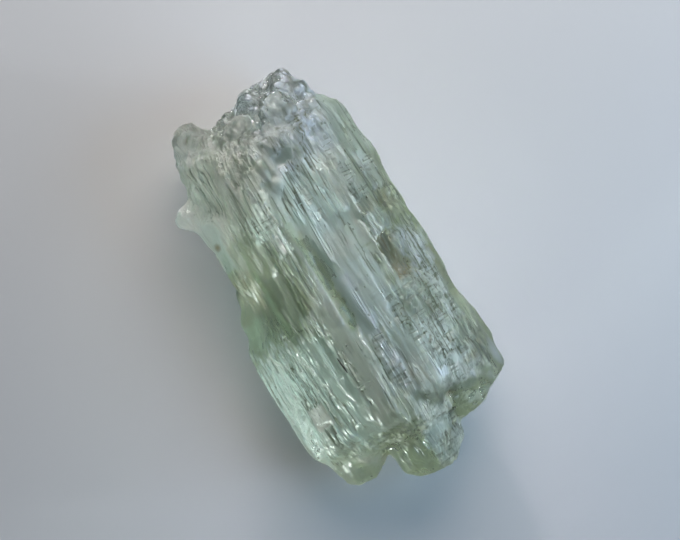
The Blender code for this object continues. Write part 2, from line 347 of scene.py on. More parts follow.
MIDDLE = (
    Patch(-4.2, -2.9, 2.9, 4.1, ragged=0.4, height=-0.1, teal=0.25, calm=0.8),
    Patch(-4.3, 3.4, 1.1, 2.8, soft=0.5, frost=0.35, calm=0.5),
    Patch(-2.4, 1.8, 2.6, 4.0, frost=0.45, calm=0.6),
    Stroke(-2.5, 3.15, -1.3, 3.0, width=0.07, height=-0.08, deep=0.6),
    Stroke(-1.15, 4.0, -1.2, 2.6, width=0.07, height=-0.08, deep=0.7),
    Stroke(-0.8, 3.2, 0.3, 3.6, width=0.07, height=-0.08, deep=0.6),
    Stroke(-0.8, 3.2, -0.9, 2.4, width=0.07, height=-0.08, deep=0.7),
    Stroke(-4.0, 2.75, -2.9, 2.7, width=0.07, height=-0.06, deep=0.4),
    Stroke(-4.0, 2.2, -2.4, 2.15, width=0.07, height=-0.06, deep=0.4),
    Stroke(-2.7, 4.08, 2.0, 4.05, height=0.16, frost=1.0),
    Patch(-1.4, 1.9, 4.25, 5.4, soft=0.15, ragged=0.35, height=-0.3, stain=0.8, deep=0.9, haze=-0.6),
    Patch(1.0, 2.0, 4.5, 5.3, ragged=0.3, stain=0.6, blush=0.3, frost=0.25, grit=0.6),
    Stroke(0.2, 5.5, 0.9, 5.65, height=-0.15, deep=1.0),
    Stroke(1.2, 5.45, 2.0, 5.6, height=-0.15, deep=1.0),
    Patch(
        -1.2, 2.4, 5.6, 7.1, soft=0.8, ragged=0.6, lavender_and_glint=0.9, frost=0.3, lumps=0.4, grit=0.6, haze=-0.1,
        marks=-0.3,
    ),
    Patch(-5.4, 4.4, 0.15, 0.95, soft=0.7, ragged=0.1, teal=0.8, calm=1.0, haze=0.25),
    # Painted highlight: mint-white along the start of the groove.
    Patch(-7.8, -4.4, -0.2, 1.0, soft=1.2, ragged=0.4, mint_and_highlight=0.8, haze=0.9, frost=0.3),
    Patch(-5.4, 3.4, -0.65, 0.15, soft=0.6, ragged=0.1, deep=0.9, calm=1.0, haze=0.45),
    Stroke(-7.2, 0.45, -4.7, 0.55, width=0.14, mint_and_highlight=0.8, frost=0.8, height=0.06),
    Stroke(-7.2, 0.15, -4.9, 0.05, width=0.09, deep=0.8, height=-0.1),
    Stroke(-7.4, -0.72, 2.4, -0.78, width=0.12, frost=0.45, height=0.1),
    Patch(-10.0, -8.5, -1.8, 0.2, soft=0.4, height=0.32, deep=0.8, calm=0.9),
    # Painted glint: a lavender spot on the knob.
    Boss(-9.0, -0.15, 0.6, 0.4, lavender_and_glint=0.6, frost=0.45),
    # Painted shadow: dark olive grooves down the knob's left side and under it.
    Stroke(-10.1, 0.2, -10.0, -1.3, width=0.14, height=-0.16, deep=1.0),
    Stroke(-10.0, -1.3, -9.2, -2.0, width=0.14, height=-0.14, deep=1.0),
    Stroke(-8.4, -0.4, -8.4, -1.7, width=0.12, height=-0.08, deep=0.7),
    Patch(-8.4, -7.5, -1.8, -0.5, soft=0.4, height=0.1, mint_and_highlight=0.6, frost=0.2),
    Boss(-8.0, 0.25, 0.55, 0.55, height=0.26, teal=0.7, calm=0.8),
    # Mint here is painted glints over real grit, in this and the next patch.
    Patch(-7.6, -3.4, -2.0, -0.9, mint_and_highlight=0.6, grit=1.0, lumps=0.5, frost=0.15),
    Patch(-6.9, -5.0, -3.0, -1.9, mint_and_highlight=1.0, frost=0.45, grit=0.7),
    Patch(-5.0, 1.4, -2.0, -0.9, deep=0.45, frost=0.2),
    Patch(-4.8, 0.6, -4.2, -1.9, soft=0.5, deep=0.8, stain=0.15, frost=0.15),
    Patch(-2.9, 1.6, -5.2, -2.5, soft=0.4, ragged=0.3, lean=-0.2, calm=0.8, deep=0.4, haze=-0.3),
    Stroke(-3.6, -2.0, -2.4, -1.9, width=0.07, frost=0.9),
    Stroke(-2.2, -1.95, -1.5, -1.9, width=0.06, frost=0.9),
    Stroke(-1.3, -2.0, -0.6, -2.05, width=0.06, frost=0.8),
    Stroke(-4.0, -2.5, -2.9, -2.5, width=0.08, frost=0.8),
    Stroke(-2.7, -2.25, -1.9, -2.25, width=0.06, frost=0.8),
    Patch(-5.4, -2.7, -4.8, -2.9, soft=0.25, height=0.04, frost=0.32, calm=0.8, haze=0.2),
    Patch(-8.4, -3.8, -4.9, -4.0, soft=0.4, lean=-0.1, frost=0.45, blush=0.3, calm=0.4),
    Stroke(-7.4, -4.9, -3.2, -5.7, width=0.14, frost=0.7, height=0.06),
    Stroke(-4.4, -4.9, -1.0, -6.7, frost=0.35, height=0.04),
    Stroke(-3.6, -5.4, -0.4, -7.2, deep=0.7, height=-0.08),
    Patch(-2.6, 2.2, -6.9, -3.7, soft=1.5, ragged=0.6, lean=-0.1, deep=1.0, calm=1.0),
    Stroke(1.0, -5.9, 1.8, -5.8, width=0.16, frost=0.6, mint_and_highlight=0.4),
)

RIGHT_SIDE = (
    Patch(-0.4, 8.6, 0.0, 1.25, soft=0.15, lavender_and_glint=0.35, teal=0.2, cross=1.0, frost=0.25),
    Patch(0.2, 10.2, -2.05, -0.75, soft=0.9, ragged=0.6, blush=0.5, calm=0.8, frost=0.22),
    Patch(2.4, 8.4, -2.15, -1.75, soft=0.15, grit=0.3, deep=0.5, marks=0.5),
    Stroke(-0.4, -2.35, 4.4, -2.25, width=0.08, frost=0.7, height=0.1),
    Stroke(5.6, -2.25, 8.0, -1.95, width=0.08, frost=0.7, height=0.1),
    Stroke(4.0, -0.2, 8.4, -0.12, width=0.08, frost=0.5, height=0.08),
    Patch(2.4, 10.6, -4.1, -2.4, soft=0.5, mint_and_highlight=0.35, teal=0.45, calm=0.6),
    # Mint here is the painted glow of light leaving the lower side, over real grit.
    Patch(2.6, 7.0, -7.8, -4.2, soft=2.6, ragged=1.6, mint_and_highlight=0.7, grit=1.0, frost=0.3),
    Boss(-2.6, -5.4, 2.2, 1.0, frost=0.2, deep=1.0),
    # Painted glints: mint-white spots and strokes, in this and the next four lines.
    Boss(4.5, -5.7, 0.45, 0.45, frost=0.7, mint_and_highlight=1.0),
    Boss(6.0, -4.95, 0.15, 0.25, frost=1.0, mint_and_highlight=1.0),
    Stroke(3.2, -6.85, 4.2, -6.85, frost=0.9, mint_and_highlight=1.0),
    Stroke(4.9, -7.5, 5.8, -7.75, frost=1.0, mint_and_highlight=1.0),
    Stroke(3.4, -5.2, 4.0, -6.8, frost=0.6, mint_and_highlight=0.8),
    Patch(6.6, 8.3, -6.2, -4.9, soft=0.12, blush=1.0, calm=1.0, height=0.1, frost=0.25),
    Stroke(8.2, -5.1, 8.1, -6.0, width=0.09, deep=1.0, height=-0.1),
    Stroke(7.9, -4.75, 8.8, -4.65, stain=0.8, height=-0.1),
    Stroke(8.8, -3.85, 9.5, -3.95, stain=0.6, height=-0.1),
    Stroke(10.1, -4.7, 10.8, -4.7, stain=0.7, height=-0.08),
    Stroke(7.8, -5.02, 10.6, -5.05, width=0.07, frost=0.9, height=0.08),
    # Painted glints: a white streak and white spots, in this and the next three lines.
    Stroke(7.5, -3.8, 9.7, -4.3, width=0.2, frost=0.8, mint_and_highlight=0.8),
    Boss(9.7, -4.4, 0.25, 0.35, frost=1.0, lavender_and_glint=0.6),
    Boss(10.5, -3.9, 0.55, 0.35, frost=0.9, mint_and_highlight=0.8),
    Boss(11.0, -2.75, 0.3, 0.32, frost=0.8, mint_and_highlight=0.8),
    # Painted highlights: a mint-white band and streaks along the lower edge, in this and the next four lines.
    Patch(5.8, 11.4, -7.2, -6.3, soft=0.4, lean=-0.1, mint_and_highlight=1.0, grit=1.0, calm=1.0, haze=0.3),
    Stroke(6.2, -6.45, 9.2, -6.6, frost=1.0, mint_and_highlight=0.6),
    Stroke(6.8, -6.7, 8.8, -7.7, width=0.22, frost=1.0, mint_and_highlight=0.5, lavender_and_glint=0.2),
    Stroke(9.8, -6.6, 11.2, -7.2, width=0.22, frost=0.9, mint_and_highlight=0.8),
    Stroke(2.2, -7.82, 9.8, -7.9, frost=0.9, mint_and_highlight=0.3),
)

RIGHT_END = (
    Stroke(12.9, -2.9, 11.5, -5.0, width=0.24, blush=0.7, frost=0.75, height=0.08),
    Patch(10.6, 12.6, -3.9, -0.8, soft=0.4, deep=0.8, stain=0.2),
    Patch(11.4, 13.6, -6.9, -3.4, soft=0.5, deep=0.35, teal=0.3, calm=0.6),
    Patch(10.8, 14.8, 0.1, 2.5, cross=0.9, lavender_and_glint=0.2, frost=0.35),
    Patch(11.8, 13.0, 0.6, 2.1, soft=0.1, teal=0.4, frost=0.35, calm=0.6, height=0.08),
    Patch(12.2, 14.6, -0.1, 0.7, soft=0.15, teal=0.4, frost=0.45, height=0.06),
    Patch(11.6, 15.6, -2.9, -0.1, soft=0.4, deep=0.6, calm=0.8),
    Patch(10.7, 11.8, -2.6, 0.6, soft=0.2, deep=0.6, cross=0.7),
    Stroke(7.8, 2.2, 13.6, 2.4, width=0.08, stain=0.5, height=-0.08),
    Stroke(11.2, 2.6, 14.2, 2.55, width=0.07, frost=0.5, height=0.08),
    Patch(10.4, 13.0, 2.8, 7.2, soft=0.4, deep=0.8, calm=0.7),
    Boss(10.9, 4.5, 0.5, 0.7, deep=1.0, teal=0.4),
    Stroke(11.4, 3.8, 12.6, 3.2, width=0.3, frost=0.25),
    # Painted glints: lavender-white spots and a streak on the lobe, in this and the next three lines.
    Boss(10.3, 5.2, 0.5, 0.26, frost=1.0, lavender_and_glint=0.5),
    Boss(9.7, 6.0, 0.28, 0.28, frost=1.0, lavender_and_glint=0.3),
    Boss(11.2, 6.3, 0.4, 0.22, frost=0.8, lavender_and_glint=0.3),
    Stroke(9.2, 4.6, 11.4, 6.2, width=0.14, frost=0.7, blush=0.3),
    Boss(10.8, 3.1, 0.3, 0.35, stain=0.9, height=-0.12),
    Patch(9.3, 10.7, 2.6, 4.6, frost=0.3, cross=0.8),
    # Painted glint: a white square.
    Patch(8.7, 9.4, 3.15, 3.8, soft=0.08, frost=1.0, lavender_and_glint=0.5, calm=1.0, height=0.06),
    Patch(8.3, 9.2, 4.4, 5.0, soft=0.08, teal=0.3, frost=0.55, calm=1.0, height=0.06),
    Patch(8.5, 9.4, 2.4, 2.9, soft=0.08, frost=0.5, height=0.05),
    # Painted glint: a lavender-white spot at the upper edge.
    Boss(10.0, 7.45, 1.2, 0.4, lavender_and_glint=0.9, frost=0.75, calm=1.0),
    Patch(9.0, 9.5, 5.0, 6.8, stain=0.4, deep=0.4),
)

UPPER_RIGHT = (
    Patch(2.2, 9.0, 2.4, 7.0, soft=0.5, cross=1.0, teal=0.35, frost=0.24),
    Patch(2.3, 6.6, 5.9, 6.8, lavender_and_glint=0.35, frost=0.35),
    Patch(1.0, 5.2, 6.8, 7.7, stain=0.4, deep=0.3, calm=0.7),
    Patch(5.0, 9.0, 6.9, 7.8, deep=0.35, blush=0.2, calm=0.6),
    Boss(5.3, 7.15, 0.35, 0.22, frost=0.9),
    Stroke(6.8, 6.8, 9.4, 6.75, stain=0.8),
    Patch(7.0, 8.0, 5.8, 6.6, soft=0.1, deep=0.3, calm=0.8, frost=0.15),
    Stroke(3.45, 3.1, 3.42, 5.3, width=0.07, height=-0.14, deep=1.0, stain=0.4),
    Stroke(2.45, 3.8, 2.4, 6.2, width=0.06, height=-0.08, deep=0.7),
    Stroke(5.05, 3.8, 5.1, 4.9, width=0.06, height=-0.08, deep=0.9),
    Stroke(6.1, 3.2, 6.1, 4.5, width=0.06, height=-0.08, deep=0.6),
    Stroke(7.0, 4.0, 6.95, 6.1, width=0.07, height=-0.1, deep=0.9),
    Stroke(7.2, 2.4, 7.2, 4.0, width=0.06, height=-0.08, deep=0.7),
    Stroke(8.1, 4.1, 8.15, 5.0, width=0.06, height=-0.08, deep=0.8),
    Stroke(4.1, 5.2, 4.5, 4.7, width=0.08, height=-0.1, deep=1.0),
    Stroke(6.2, 4.1, 6.8, 3.7, width=0.08, height=-0.1, stain=0.6),
    Stroke(1.6, 3.4, 5.9, 3.2, width=0.07, frost=0.8, height=0.08),
    Stroke(3.7, 2.45, 5.5, 2.45, stain=0.35, height=0.06),
    Stroke(3.0, 1.55, 7.3, 1.8, width=0.07, deep=0.4, height=-0.07),
    Stroke(3.4, 1.75, 5.6, 1.75, width=0.07, frost=0.4),
    Stroke(7.7, 1.45, 9.1, 1.5, width=0.09, stain=0.5, height=-0.07),
)

WIDE_TONES = (
    Patch(-15.8, -11.6, -3.6, 2.4, soft=1.6, deep=0.7, haze=-0.3),
    Patch(-15.8, -9.8, 0.6, 6.0, soft=1.6, lavender_and_glint=0.5, haze=0.05),
    Patch(-15.6, -7.0, -7.6, 0.4, soft=3.0, blush=0.6, stain=0.08, marks=-0.1),
    Patch(-14.4, -10.8, -3.0, -0.6, soft=1.2, ragged=0.6, deep=0.7, stain=0.12, haze=-0.4),
    Patch(-13.0, -4.2, -5.0, -1.0, soft=1.6, ragged=0.8, grit=0.35, deep=0.55, stain=0.08, frost=0.1),
    Patch(-13.0, -6.0, -7.6, -3.0, soft=2.0, haze=0.5, frost=0.15, marks=-0.1),
    Patch(-12.4, -8.0, 0.6, 5.4, soft=2.0, lavender_and_glint=0.35, marks=0.2),
    Patch(-12.2, -4.0, 4.6, 7.4, soft=1.6, mint_and_highlight=0.2, lavender_and_glint=0.08, haze=0.1, marks=0.4),
    # Painted reflection of the bright sky: pale mint over the flat middle, in this and the next patch.
    Patch(-8.8, -3.4, 0.7, 3.6, soft=1.2, mint_and_highlight=0.85, lavender_and_glint=0.15, haze=1.0, marks=0.35, frost=0.15),
    Patch(-4.4, 4.2, 1.0, 3.5, soft=0.8, mint_and_highlight=0.45, lavender_and_glint=0.2, haze=0.85, marks=0.3, frost=-0.1),
    Patch(-9.8, -4.0, -3.4, -0.4, soft=1.2, mint_and_highlight=0.35, deep=0.9, stain=0.1, marks=0.4),
    Patch(-5.4, 2.4, -8.4, -4.8, soft=2.6, ragged=1.2, deep=0.9),
    Patch(-5.4, 2.6, -6.2, -2.6, soft=2.4, ragged=1.0, deep=0.8),
    Patch(-1.8, 9.6, -2.2, -0.4, soft=0.8, haze=0.35, marks=0.2),
    # Painted reflection of the bright sky: pale mint over the flat middle.
    Patch(-1.0, 9.6, 0.4, 3.4, soft=1.4, lavender_and_glint=0.2, mint_and_highlight=0.3, haze=1.1, marks=0.2),
    Patch(1.4, 5.0, 3.2, 5.4, soft=1.0, ragged=0.5, deep=0.8, stain=0.12, haze=-0.4),
    Patch(4.8, 7.6, 1.6, 3.4, soft=1.0, ragged=0.5, mint_and_highlight=0.2, haze=0.5, marks=-0.3, calm=0.3),
    Patch(9.2, 11.2, -0.8, 1.2, soft=0.8, ragged=0.5, deep=0.5, haze=-0.4),
    Patch(1.0, 5.2, -7.4, -5.0, soft=1.4, ragged=0.8, deep=0.5, haze=-0.3),
    Patch(-4.2, -0.8, -7.2, -4.4, soft=0.8, ragged=0.5, deep=0.5, stain=0.5, frost=0.4, haze=-0.4),
    Patch(2.6, 5.6, -5.2, -3.0, soft=1.2, ragged=0.6, deep=0.45, teal=0.3, haze=-0.2),
    Patch(9.4, 13.2, -7.2, -5.0, soft=1.0, ragged=0.5, deep=0.6, haze=-0.4),
    Patch(2.0, 10.6, 3.0, 6.2, soft=1.4, lavender_and_glint=0.1, mint_and_highlight=0.2, haze=0.16, marks=0.2),
    # Painted glow: mint where light leaves the lower side.
    Patch(2.4, 11.4, -8.4, -2.6, soft=3.0, ragged=1.2, mint_and_highlight=0.75, haze=0.36),
    Patch(-13.0, -7.0, 5.4, 9.0, soft=1.2, deep=0.35, mint_and_highlight=0.3, haze=0.2, marks=0.3),
    Patch(-7.0, 13.0, 5.4, 9.0, soft=1.2, deep=0.9, stain=0.12, marks=0.4, cross=0.3),
    Patch(10.6, 15.8, -3.2, 7.4, soft=1.6, deep=0.45, facets=0.8, frost=-0.05, cross=0.4, marks=0.3),
    Patch(10.8, 15.6, 0.0, 2.8, soft=0.8, haze=0.4),
    Patch(10.4, 14.0, -7.4, -3.0, soft=1.0, deep=0.7, facets=0.8, marks=0.2),
)

FRONT = LEFT_END + UPPER_LEFT + MIDDLE + RIGHT_SIDE + RIGHT_END + UPPER_RIGHT + WIDE_TONES
# How deep the finish's finest relief is, and how long, wide and high its facets are, in millimetres.
BUMP_DEPTH = 0.05
FACET_SIZE = (0.30, 0.20, 0.20)
FACET_RISE = 0.4
# The directions that etched facets face: the left end, and the two long sides.
FACET_WAYS = ((-0.59, 0.17, 0.79), (0.23, -0.56, 0.79), (0.18, -0.66, 0.72), (0.30, 0.53, 0.80))
# How long and wide the blocks are that face one way, how far chance chooses it, and the steepest slope.
FACET_RUN = (0.9, 0.5)
FACET_LUCK = 0.35
STEEPEST = 1.2

# How many points a smooth profile is worked out at, before the grid's points are spread along it.
FINE_TURN = 20001

# The small rounded lumps of the crusty left end.
BUBBLES = Lumps(52, 0.62, 0.55)


class SkinPoints:
    """The points of a grid over the crystal, rings by columns, and what the patterns read from them.

    Upper is 1 where the surface faces up, and end_on where it faces an end. The wavers move borders in and
    out, and mottle makes tones patchy.
    """

    def __init__(self, points: Array, normals: Array, girth: Array) -> None:
        """Splits the coordinates and works out which way each point faces.

        Args:
            points: The points, in millimetres.
            normals: Their unit normals.
            girth: How far round the sheath each point is. The crystal's own girth is about 0.8 of it.
        """
        self.place = np.moveaxis(points, -1, 0)
        self.x, self.y, self.z = self.place
        self.normals = normals
        self.girth = girth
        self.around = girth * 0.8
        self.upper = smooth_step(self.normals[..., 2], -0.15, 0.25)
        self.end_on = smooth_step(np.abs(self.normals[..., 0]), 0.45, 0.80)
        self.waver_x = self.stepped_waver(11)
        self.waver_y = self.stepped_waver(12)
        clouds = self.clouds(13, 0.5, 0.3)
        chips = Grain(14).bricks(self.x / 0.45, self.girth / 0.28)
        self.mottle = np.clip(0.25 + 0.8 * clouds + 0.6 * chips, 0.0, 1.3)

    def scaled(self, length: float, width: float) -> Array:
        """The coordinates, divided by a length along X and a width along Y and Z."""
        return self.place / np.reshape((length, width, width), (3, 1, 1))

    def clouds(self, seed: int, length: float, width: float) -> Array:
        """Smooth noise from 0 to 1, whose lumps are this long and wide in millimetres."""
        return Grain(seed).smooth(self.scaled(length, width))

    def stepped_waver(self, seed: int) -> Array:
        """Numbers from -1 to 1 that move a border in and out, partly in steps as an etched edge does."""
        steps = Grain(seed + 50).bricks(self.x / 0.5, self.girth / 0.3)
        return 1.1 * self.clouds(seed, 1.2, 0.7) + 0.9 * steps - 1.0

    def facet_slopes(self) -> Array:
        """The slope that turns each point's surface to one of the facets' directions.

        Small blocks of the surface each take one of the nearer directions at random. For the normal n and
        the direction d the slope is n - d / (n . d), as a rise over FACET_RISE in each facet length.
        """
        ways = np.array(FACET_WAYS) / np.linalg.norm(FACET_WAYS, axis=1, keepdims=True)
        nearness = self.normals @ ways.T
        along, across = self.x / FACET_RUN[0], self.girth / FACET_RUN[1]
        luck = [Grain(70 + way).bricks(along, across) for way in range(len(ways))]
        chosen = (nearness + FACET_LUCK * np.stack(luck, axis=-1)).argmax(axis=-1)
        met = np.take_along_axis(nearness, chosen[..., None], axis=-1)
        slope = self.normals - ways[chosen] / np.maximum(met, 0.4)
        return np.clip(slope, -STEEPEST, STEEPEST) * np.array(FACET_SIZE) / FACET_RISE

    def crust(self) -> Array:
        """How far each point belongs to the lumpy left end, or to a lumpy place of the front."""
        return clipped(self.front("lumps") + smooth_step(self.x, -11.5, -13.5))

    def front(self, effect: str) -> Array:
        """The sum of one effect over all the markings of the front."""
        total = np.zeros(self.x.shape)
        for marking in FRONT:
            strength = getattr(marking, effect)
            if strength:
                total += strength * marking.over(self)
        return total

    def share(self, effect: str) -> Array:
        """The same sum, held between 0 and 1."""
        return clipped(self.front(effect))


def running_total(steps: Array) -> Array:
    """The sum of the steps up to each point, which starts with 0."""
    return np.concatenate([[0.0], np.cumsum(steps)])


@dataclass(frozen=True)
class Sheath:
    """A rounded box that encloses the crystal, from which a grid of points is drawn in onto it.

    Its cross-section is a superellipse, and so is its outline along X, so a point is a function of two
    parameters: how far round, and how far from one end to the other. The clearance and the radius that
    spaces the rings near the ends are in millimetres, and crowding draws the columns to the upper side.
    """

    rings: int = 256
    columns: int = 380
    clearance: float = 2.2
    squareness: float = 2.6
    crowding: float = 0.62
    end_radius: float = 8.0

    def round_profile(self, half_width: float, half_height: float) -> tuple[Array, Array]:
        """The cross-section's points and its girth, from the bottom round, crowded on the upper side.

        Each point lies on |y/w|^p + |z/h|^p = 1. The points are equal steps of the girth divided by a
        spacing that shrinks towards the top.

        Args:
            half_width: Half the width along Y.
            half_height: Half the height along Z.

        Returns:
            The points as (y, z) rows for a unit ring, and the girth at each.
        """
        angle = np.linspace(0.0, 2.0 * math.pi, FINE_TURN)
        y, z = np.sin(angle), -np.cos(angle)
        power = self.squareness
        radius = (np.abs(y / half_width) ** power + np.abs(z / half_height) ** power) ** (-1.0 / power)
        y, z = y * radius, z * radius
        step = np.hypot(np.diff(y), np.diff(z))
        girth = running_total(step)
        top = (z[1:] + z[:-1]) / (2.0 * half_height)
        crowded = running_total(step * (1.0 + self.crowding * np.clip(top + 0.3, -0.9, 0.9)))
        wanted = np.linspace(0.0, crowded[-1], self.columns, endpoint=False)
        rows = np.stack([np.interp(wanted, crowded, y), np.interp(wanted, crowded, z)], axis=-1)
        return rows, np.interp(wanted, crowded, girth)

    def long_profile(self, half_length: float) -> tuple[Array, Array]:
        """Each ring's x and its share of the full cross-section, in equal steps along the outline.

        Args:
            half_length: Half the length along X.

        Returns:
            The x and the share of each ring, without the two poles.
        """
        angle = np.linspace(0.0, math.pi, FINE_TURN)
        x, share = -np.cos(angle), np.sin(angle)
        power = self.squareness
        size = (np.abs(x) ** power + share**power) ** (-1.0 / power)
        x, share = x * size, share * size
        reach = running_total(np.hypot(np.diff(x * half_length), np.diff(share * self.end_radius)))
        wanted = np.linspace(0.0, reach[-1], self.rings + 2)[1:-1]
        return np.interp(wanted, reach, x) * half_length, np.interp(wanted, reach, share)


class GridMesh:
    """A closed mesh made of rings of points with a pole at each end."""

    @staticmethod
    def build(name: str, rings: Array, poles: Array) -> bpy.types.Mesh:
        """Puts rings and poles into a mesh: quads between the rings, triangles round each pole.

        Args:
            name: The mesh's name.
            rings: Points in metres, as rings x columns x 3.
            poles: The first and the last point, 2 x 3.

        Returns:
            The mesh, with its faces pointing out.
        """
        count, columns = rings.shape[:2]
        index = np.arange(count * columns).reshape(count, columns)
        turned = np.roll(index, -1, axis=1)
        quads = np.stack([index[:-1], turned[:-1], turned[1:], index[1:]], axis=-1).reshape(-1, 4)
        first, last = count * columns, count * columns + 1
        start_fan = np.stack([np.full(columns, first), turned[0], index[0]], axis=-1)
        end_fan = np.stack([np.full(columns, last), index[-1], turned[-1]], axis=-1)
        faces = [face for group in (quads, start_fan, end_fan) for face in group.tolist()]
        mesh = bpy.data.meshes.new(name)
        mesh.from_pydata(np.concatenate([rings.reshape(-1, 3), poles]).tolist(), [], faces)
        mesh.shade_smooth()
        return mesh


def place_in_scene(name: str, mesh: bpy.types.Mesh) -> bpy.types.Object:
    """Makes an object of a mesh, at the origin, and links it to the scene."""
    thing = bpy.data.objects.new(name, mesh)
    bpy.context.scene.collection.objects.link(thing)
    return thing


def as_piece(thing: bpy.types.Object) -> bpy.types.Object:
    """Lets an object ride with the crystal's body, hides the imported crystal and logs how many faces the
    object has.
    """
    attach(thing, "root")
    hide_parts(CRYSTAL_NODE)
    log.info("%s: %d faces", thing.name, len(thing.data.polygons))
    return thing


class Value:
    """What a node's output gives at each point of a surface. Arithmetic on it adds Math nodes."""

    def __init__(self, graph: "Graph", socket: bpy.types.NodeSocket) -> None:
        """Wraps an output socket of a node in the graph."""
        self.graph = graph
        self.socket = socket

    def maths(self, operation: str, *operands: Any) -> "Value":
        """Adds one Math node with these operands, in order."""
        return self.graph.add("ShaderNodeMath", {"operation": operation}, dict(enumerate(operands)))

    def output(self, name: int | str) -> "Value":
        """Another output of the same node."""
        return Value(self.graph, self.socket.node.outputs[name])

    def __add__(self, other: Any) -> "Value":
        """self + other."""
        return self.maths("ADD", self, other)

    __radd__ = __add__

    def __mul__(self, other: Any) -> "Value":
        """self * other."""
        return self.maths("MULTIPLY", self, other)

    __rmul__ = __mul__

    def __sub__(self, other: Any) -> "Value":
        """self - other."""
        return self.maths("SUBTRACT", self, other)

    def __rsub__(self, other: Any) -> "Value":
        """other - self."""
        return self.maths("SUBTRACT", other, self)

    def clipped(self) -> "Value":
        """self held between 0 and 1."""
        low = self.maths("MAXIMUM", self, 0.0)
        return low.maths("MINIMUM", low, 1.0)

    def past(self, start: float, steepness: float) -> "Value":
        """How far self is past the start: 0 there and 1 at 1 / steepness past it, held between them.

        With a steepness below 0 it is how far self is below the start.
        """
        return ((self - start) * steepness).clipped()


@dataclass(frozen=True)
class Cells:
    """Blocky cells: the distance and the way from a cell's middle, and a random number for each cell.

    The random number goes from 0 to 1, and read as a vector it is three of them. The way is in cell lengths.
    """

    away: Value
    chance: Value
    aside: Value


class Graph:
    """A material's nodes."""

    def __init__(self, name: str) -> None:
        """Makes an empty material with an output node."""
        self.material = bpy.data.materials.new(name)
        self.material.use_nodes = True
        self.tree = self.material.node_tree
        self.tree.nodes.clear()
        self.output = self.tree.nodes.new("ShaderNodeOutputMaterial")

    def add(self, kind: str, settings: dict[str, Any], sockets: dict[Any, Any]) -> Value:
        """Adds one node.

        Args:
            kind: The node's type, such as ShaderNodeTexNoise.
            settings: Its own settings, which are set first.
            sockets: Inputs by name or number, as a Value to link or a constant.

        Returns:
            Its first output.
        """
        node = self.tree.nodes.new(kind)
        for name, setting in settings.items():
            setattr(node, name, setting)
        for name, given in sockets.items():
            if isinstance(given, Value):
                self.tree.links.new(given.socket, node.inputs[name])
            else:
                node.inputs[name].default_value = given
        return Value(self, node.outputs[0])

    def attribute(self, name: str) -> Value:
        """A number stored at the mesh's own points."""
        return self.add("ShaderNodeAttribute", {"attribute_name": name}, {}).output("Fac")

    def millimetres(self, lengths: Triple) -> Value:
        """Object coordinates divided by these lengths in millimetres, which a pattern then takes on."""
        place = self.add("ShaderNodeTexCoord", {}, {}).output("Object")
        scale = tuple(1.0 / (MM * length) for length in lengths)
        return self.add("ShaderNodeMapping", {}, {"Vector": place, "Scale": scale})

    def noise(self, lengths: Triple, detail: float, roughness: float = 0.5) -> Value:
        """Noise from 0 to 1 whose lumps have these lengths along X, Y and Z, in millimetres."""
        place = self.millimetres(lengths)
        sockets = {"Vector": place, "Scale": 1.0, "Detail": detail, "Roughness": roughness}
        return self.add("ShaderNodeTexNoise", {}, sockets)

    def cells(self, lengths: Triple) -> Cells:
        """Blocky cells of about these lengths along X, Y and Z, in millimetres."""
        place = self.millimetres(lengths)
        sockets = {"Vector": place, "Scale": 1.0}
        away = self.add("ShaderNodeTexVoronoi", {"distance": "CHEBYCHEV"}, sockets)
        aside = self.vectors("SUBTRACT", place, away.output("Position"))
        return Cells(away, away.output("Color"), aside)

    def vectors(self, operation: str, *operands: Any) -> Value:
        """Adds one Vector Math node with these operands, in order."""
        return self.add("ShaderNodeVectorMath", {"operation": operation}, dict(enumerate(operands)))

    def tilted(self, cells: Cells, spread: float, towards: Any) -> Value:
        """A height that tilts each cell its own way, so that it becomes a facet.

        Args:
            cells: The cells.
            spread: How far the slopes differ from cell to cell.
            towards: The slope that they have in common, as a vector.

        Returns:
            The dot product of the way from the cell's middle and the slope, which is
            towards + spread * (chance - 1/2).
        """
        centred = self.vectors("SUBTRACT", cells.chance, (0.5, 0.5, 0.5))
        slope = self.vectors("MULTIPLY_ADD", centred, (spread, spread, spread), towards)
        return self.vectors("DOT_PRODUCT", cells.aside, slope).output("Value")

    def contours(self, lengths: Triple, sharpness: float) -> Value:
        """Thin lines where noise of these lengths passes its middle: 1 - s|n - 1/2|, never below 0."""
        away = self.noise(lengths, 0.0) - 0.5
        return (1.0 - away.maths("ABSOLUTE", away) * sharpness).clipped()

    def mix(self, share: Any, first: Any, second: Any) -> Value:
        """A colour that goes from the first to the second as share goes from 0 to 1."""
        sockets = {0: share, 6: first, 7: second}
        return self.add("ShaderNodeMix", {"data_type": "RGBA"}, sockets).output(2)

    def principled(self, sockets: dict[str, Any]) -> Value:
        """A Principled shader with these inputs."""
        return self.add("ShaderNodeBsdfPrincipled", {}, sockets)

    def finish(self, surface: Value, volume: Value | None = None) -> bpy.types.Material:
        """Links the shaders to the output and returns the material."""
        self.tree.links.new(surface.socket, self.output.inputs["Surface"])
        if volume is not None:
            self.tree.links.new(volume.socket, self.output.inputs["Volume"])
        return self.material


def opaque(colour: Colour) -> tuple[float, float, float, float]:
    """A colour with full alpha."""
    return (*colour, 1.0)


@dataclass(frozen=True)
class Tone:
    """A colour that a mask brings in, where the crystal is clear and where it is frosted."""

    mask: str
    clear: Colour
    frosted: Colour


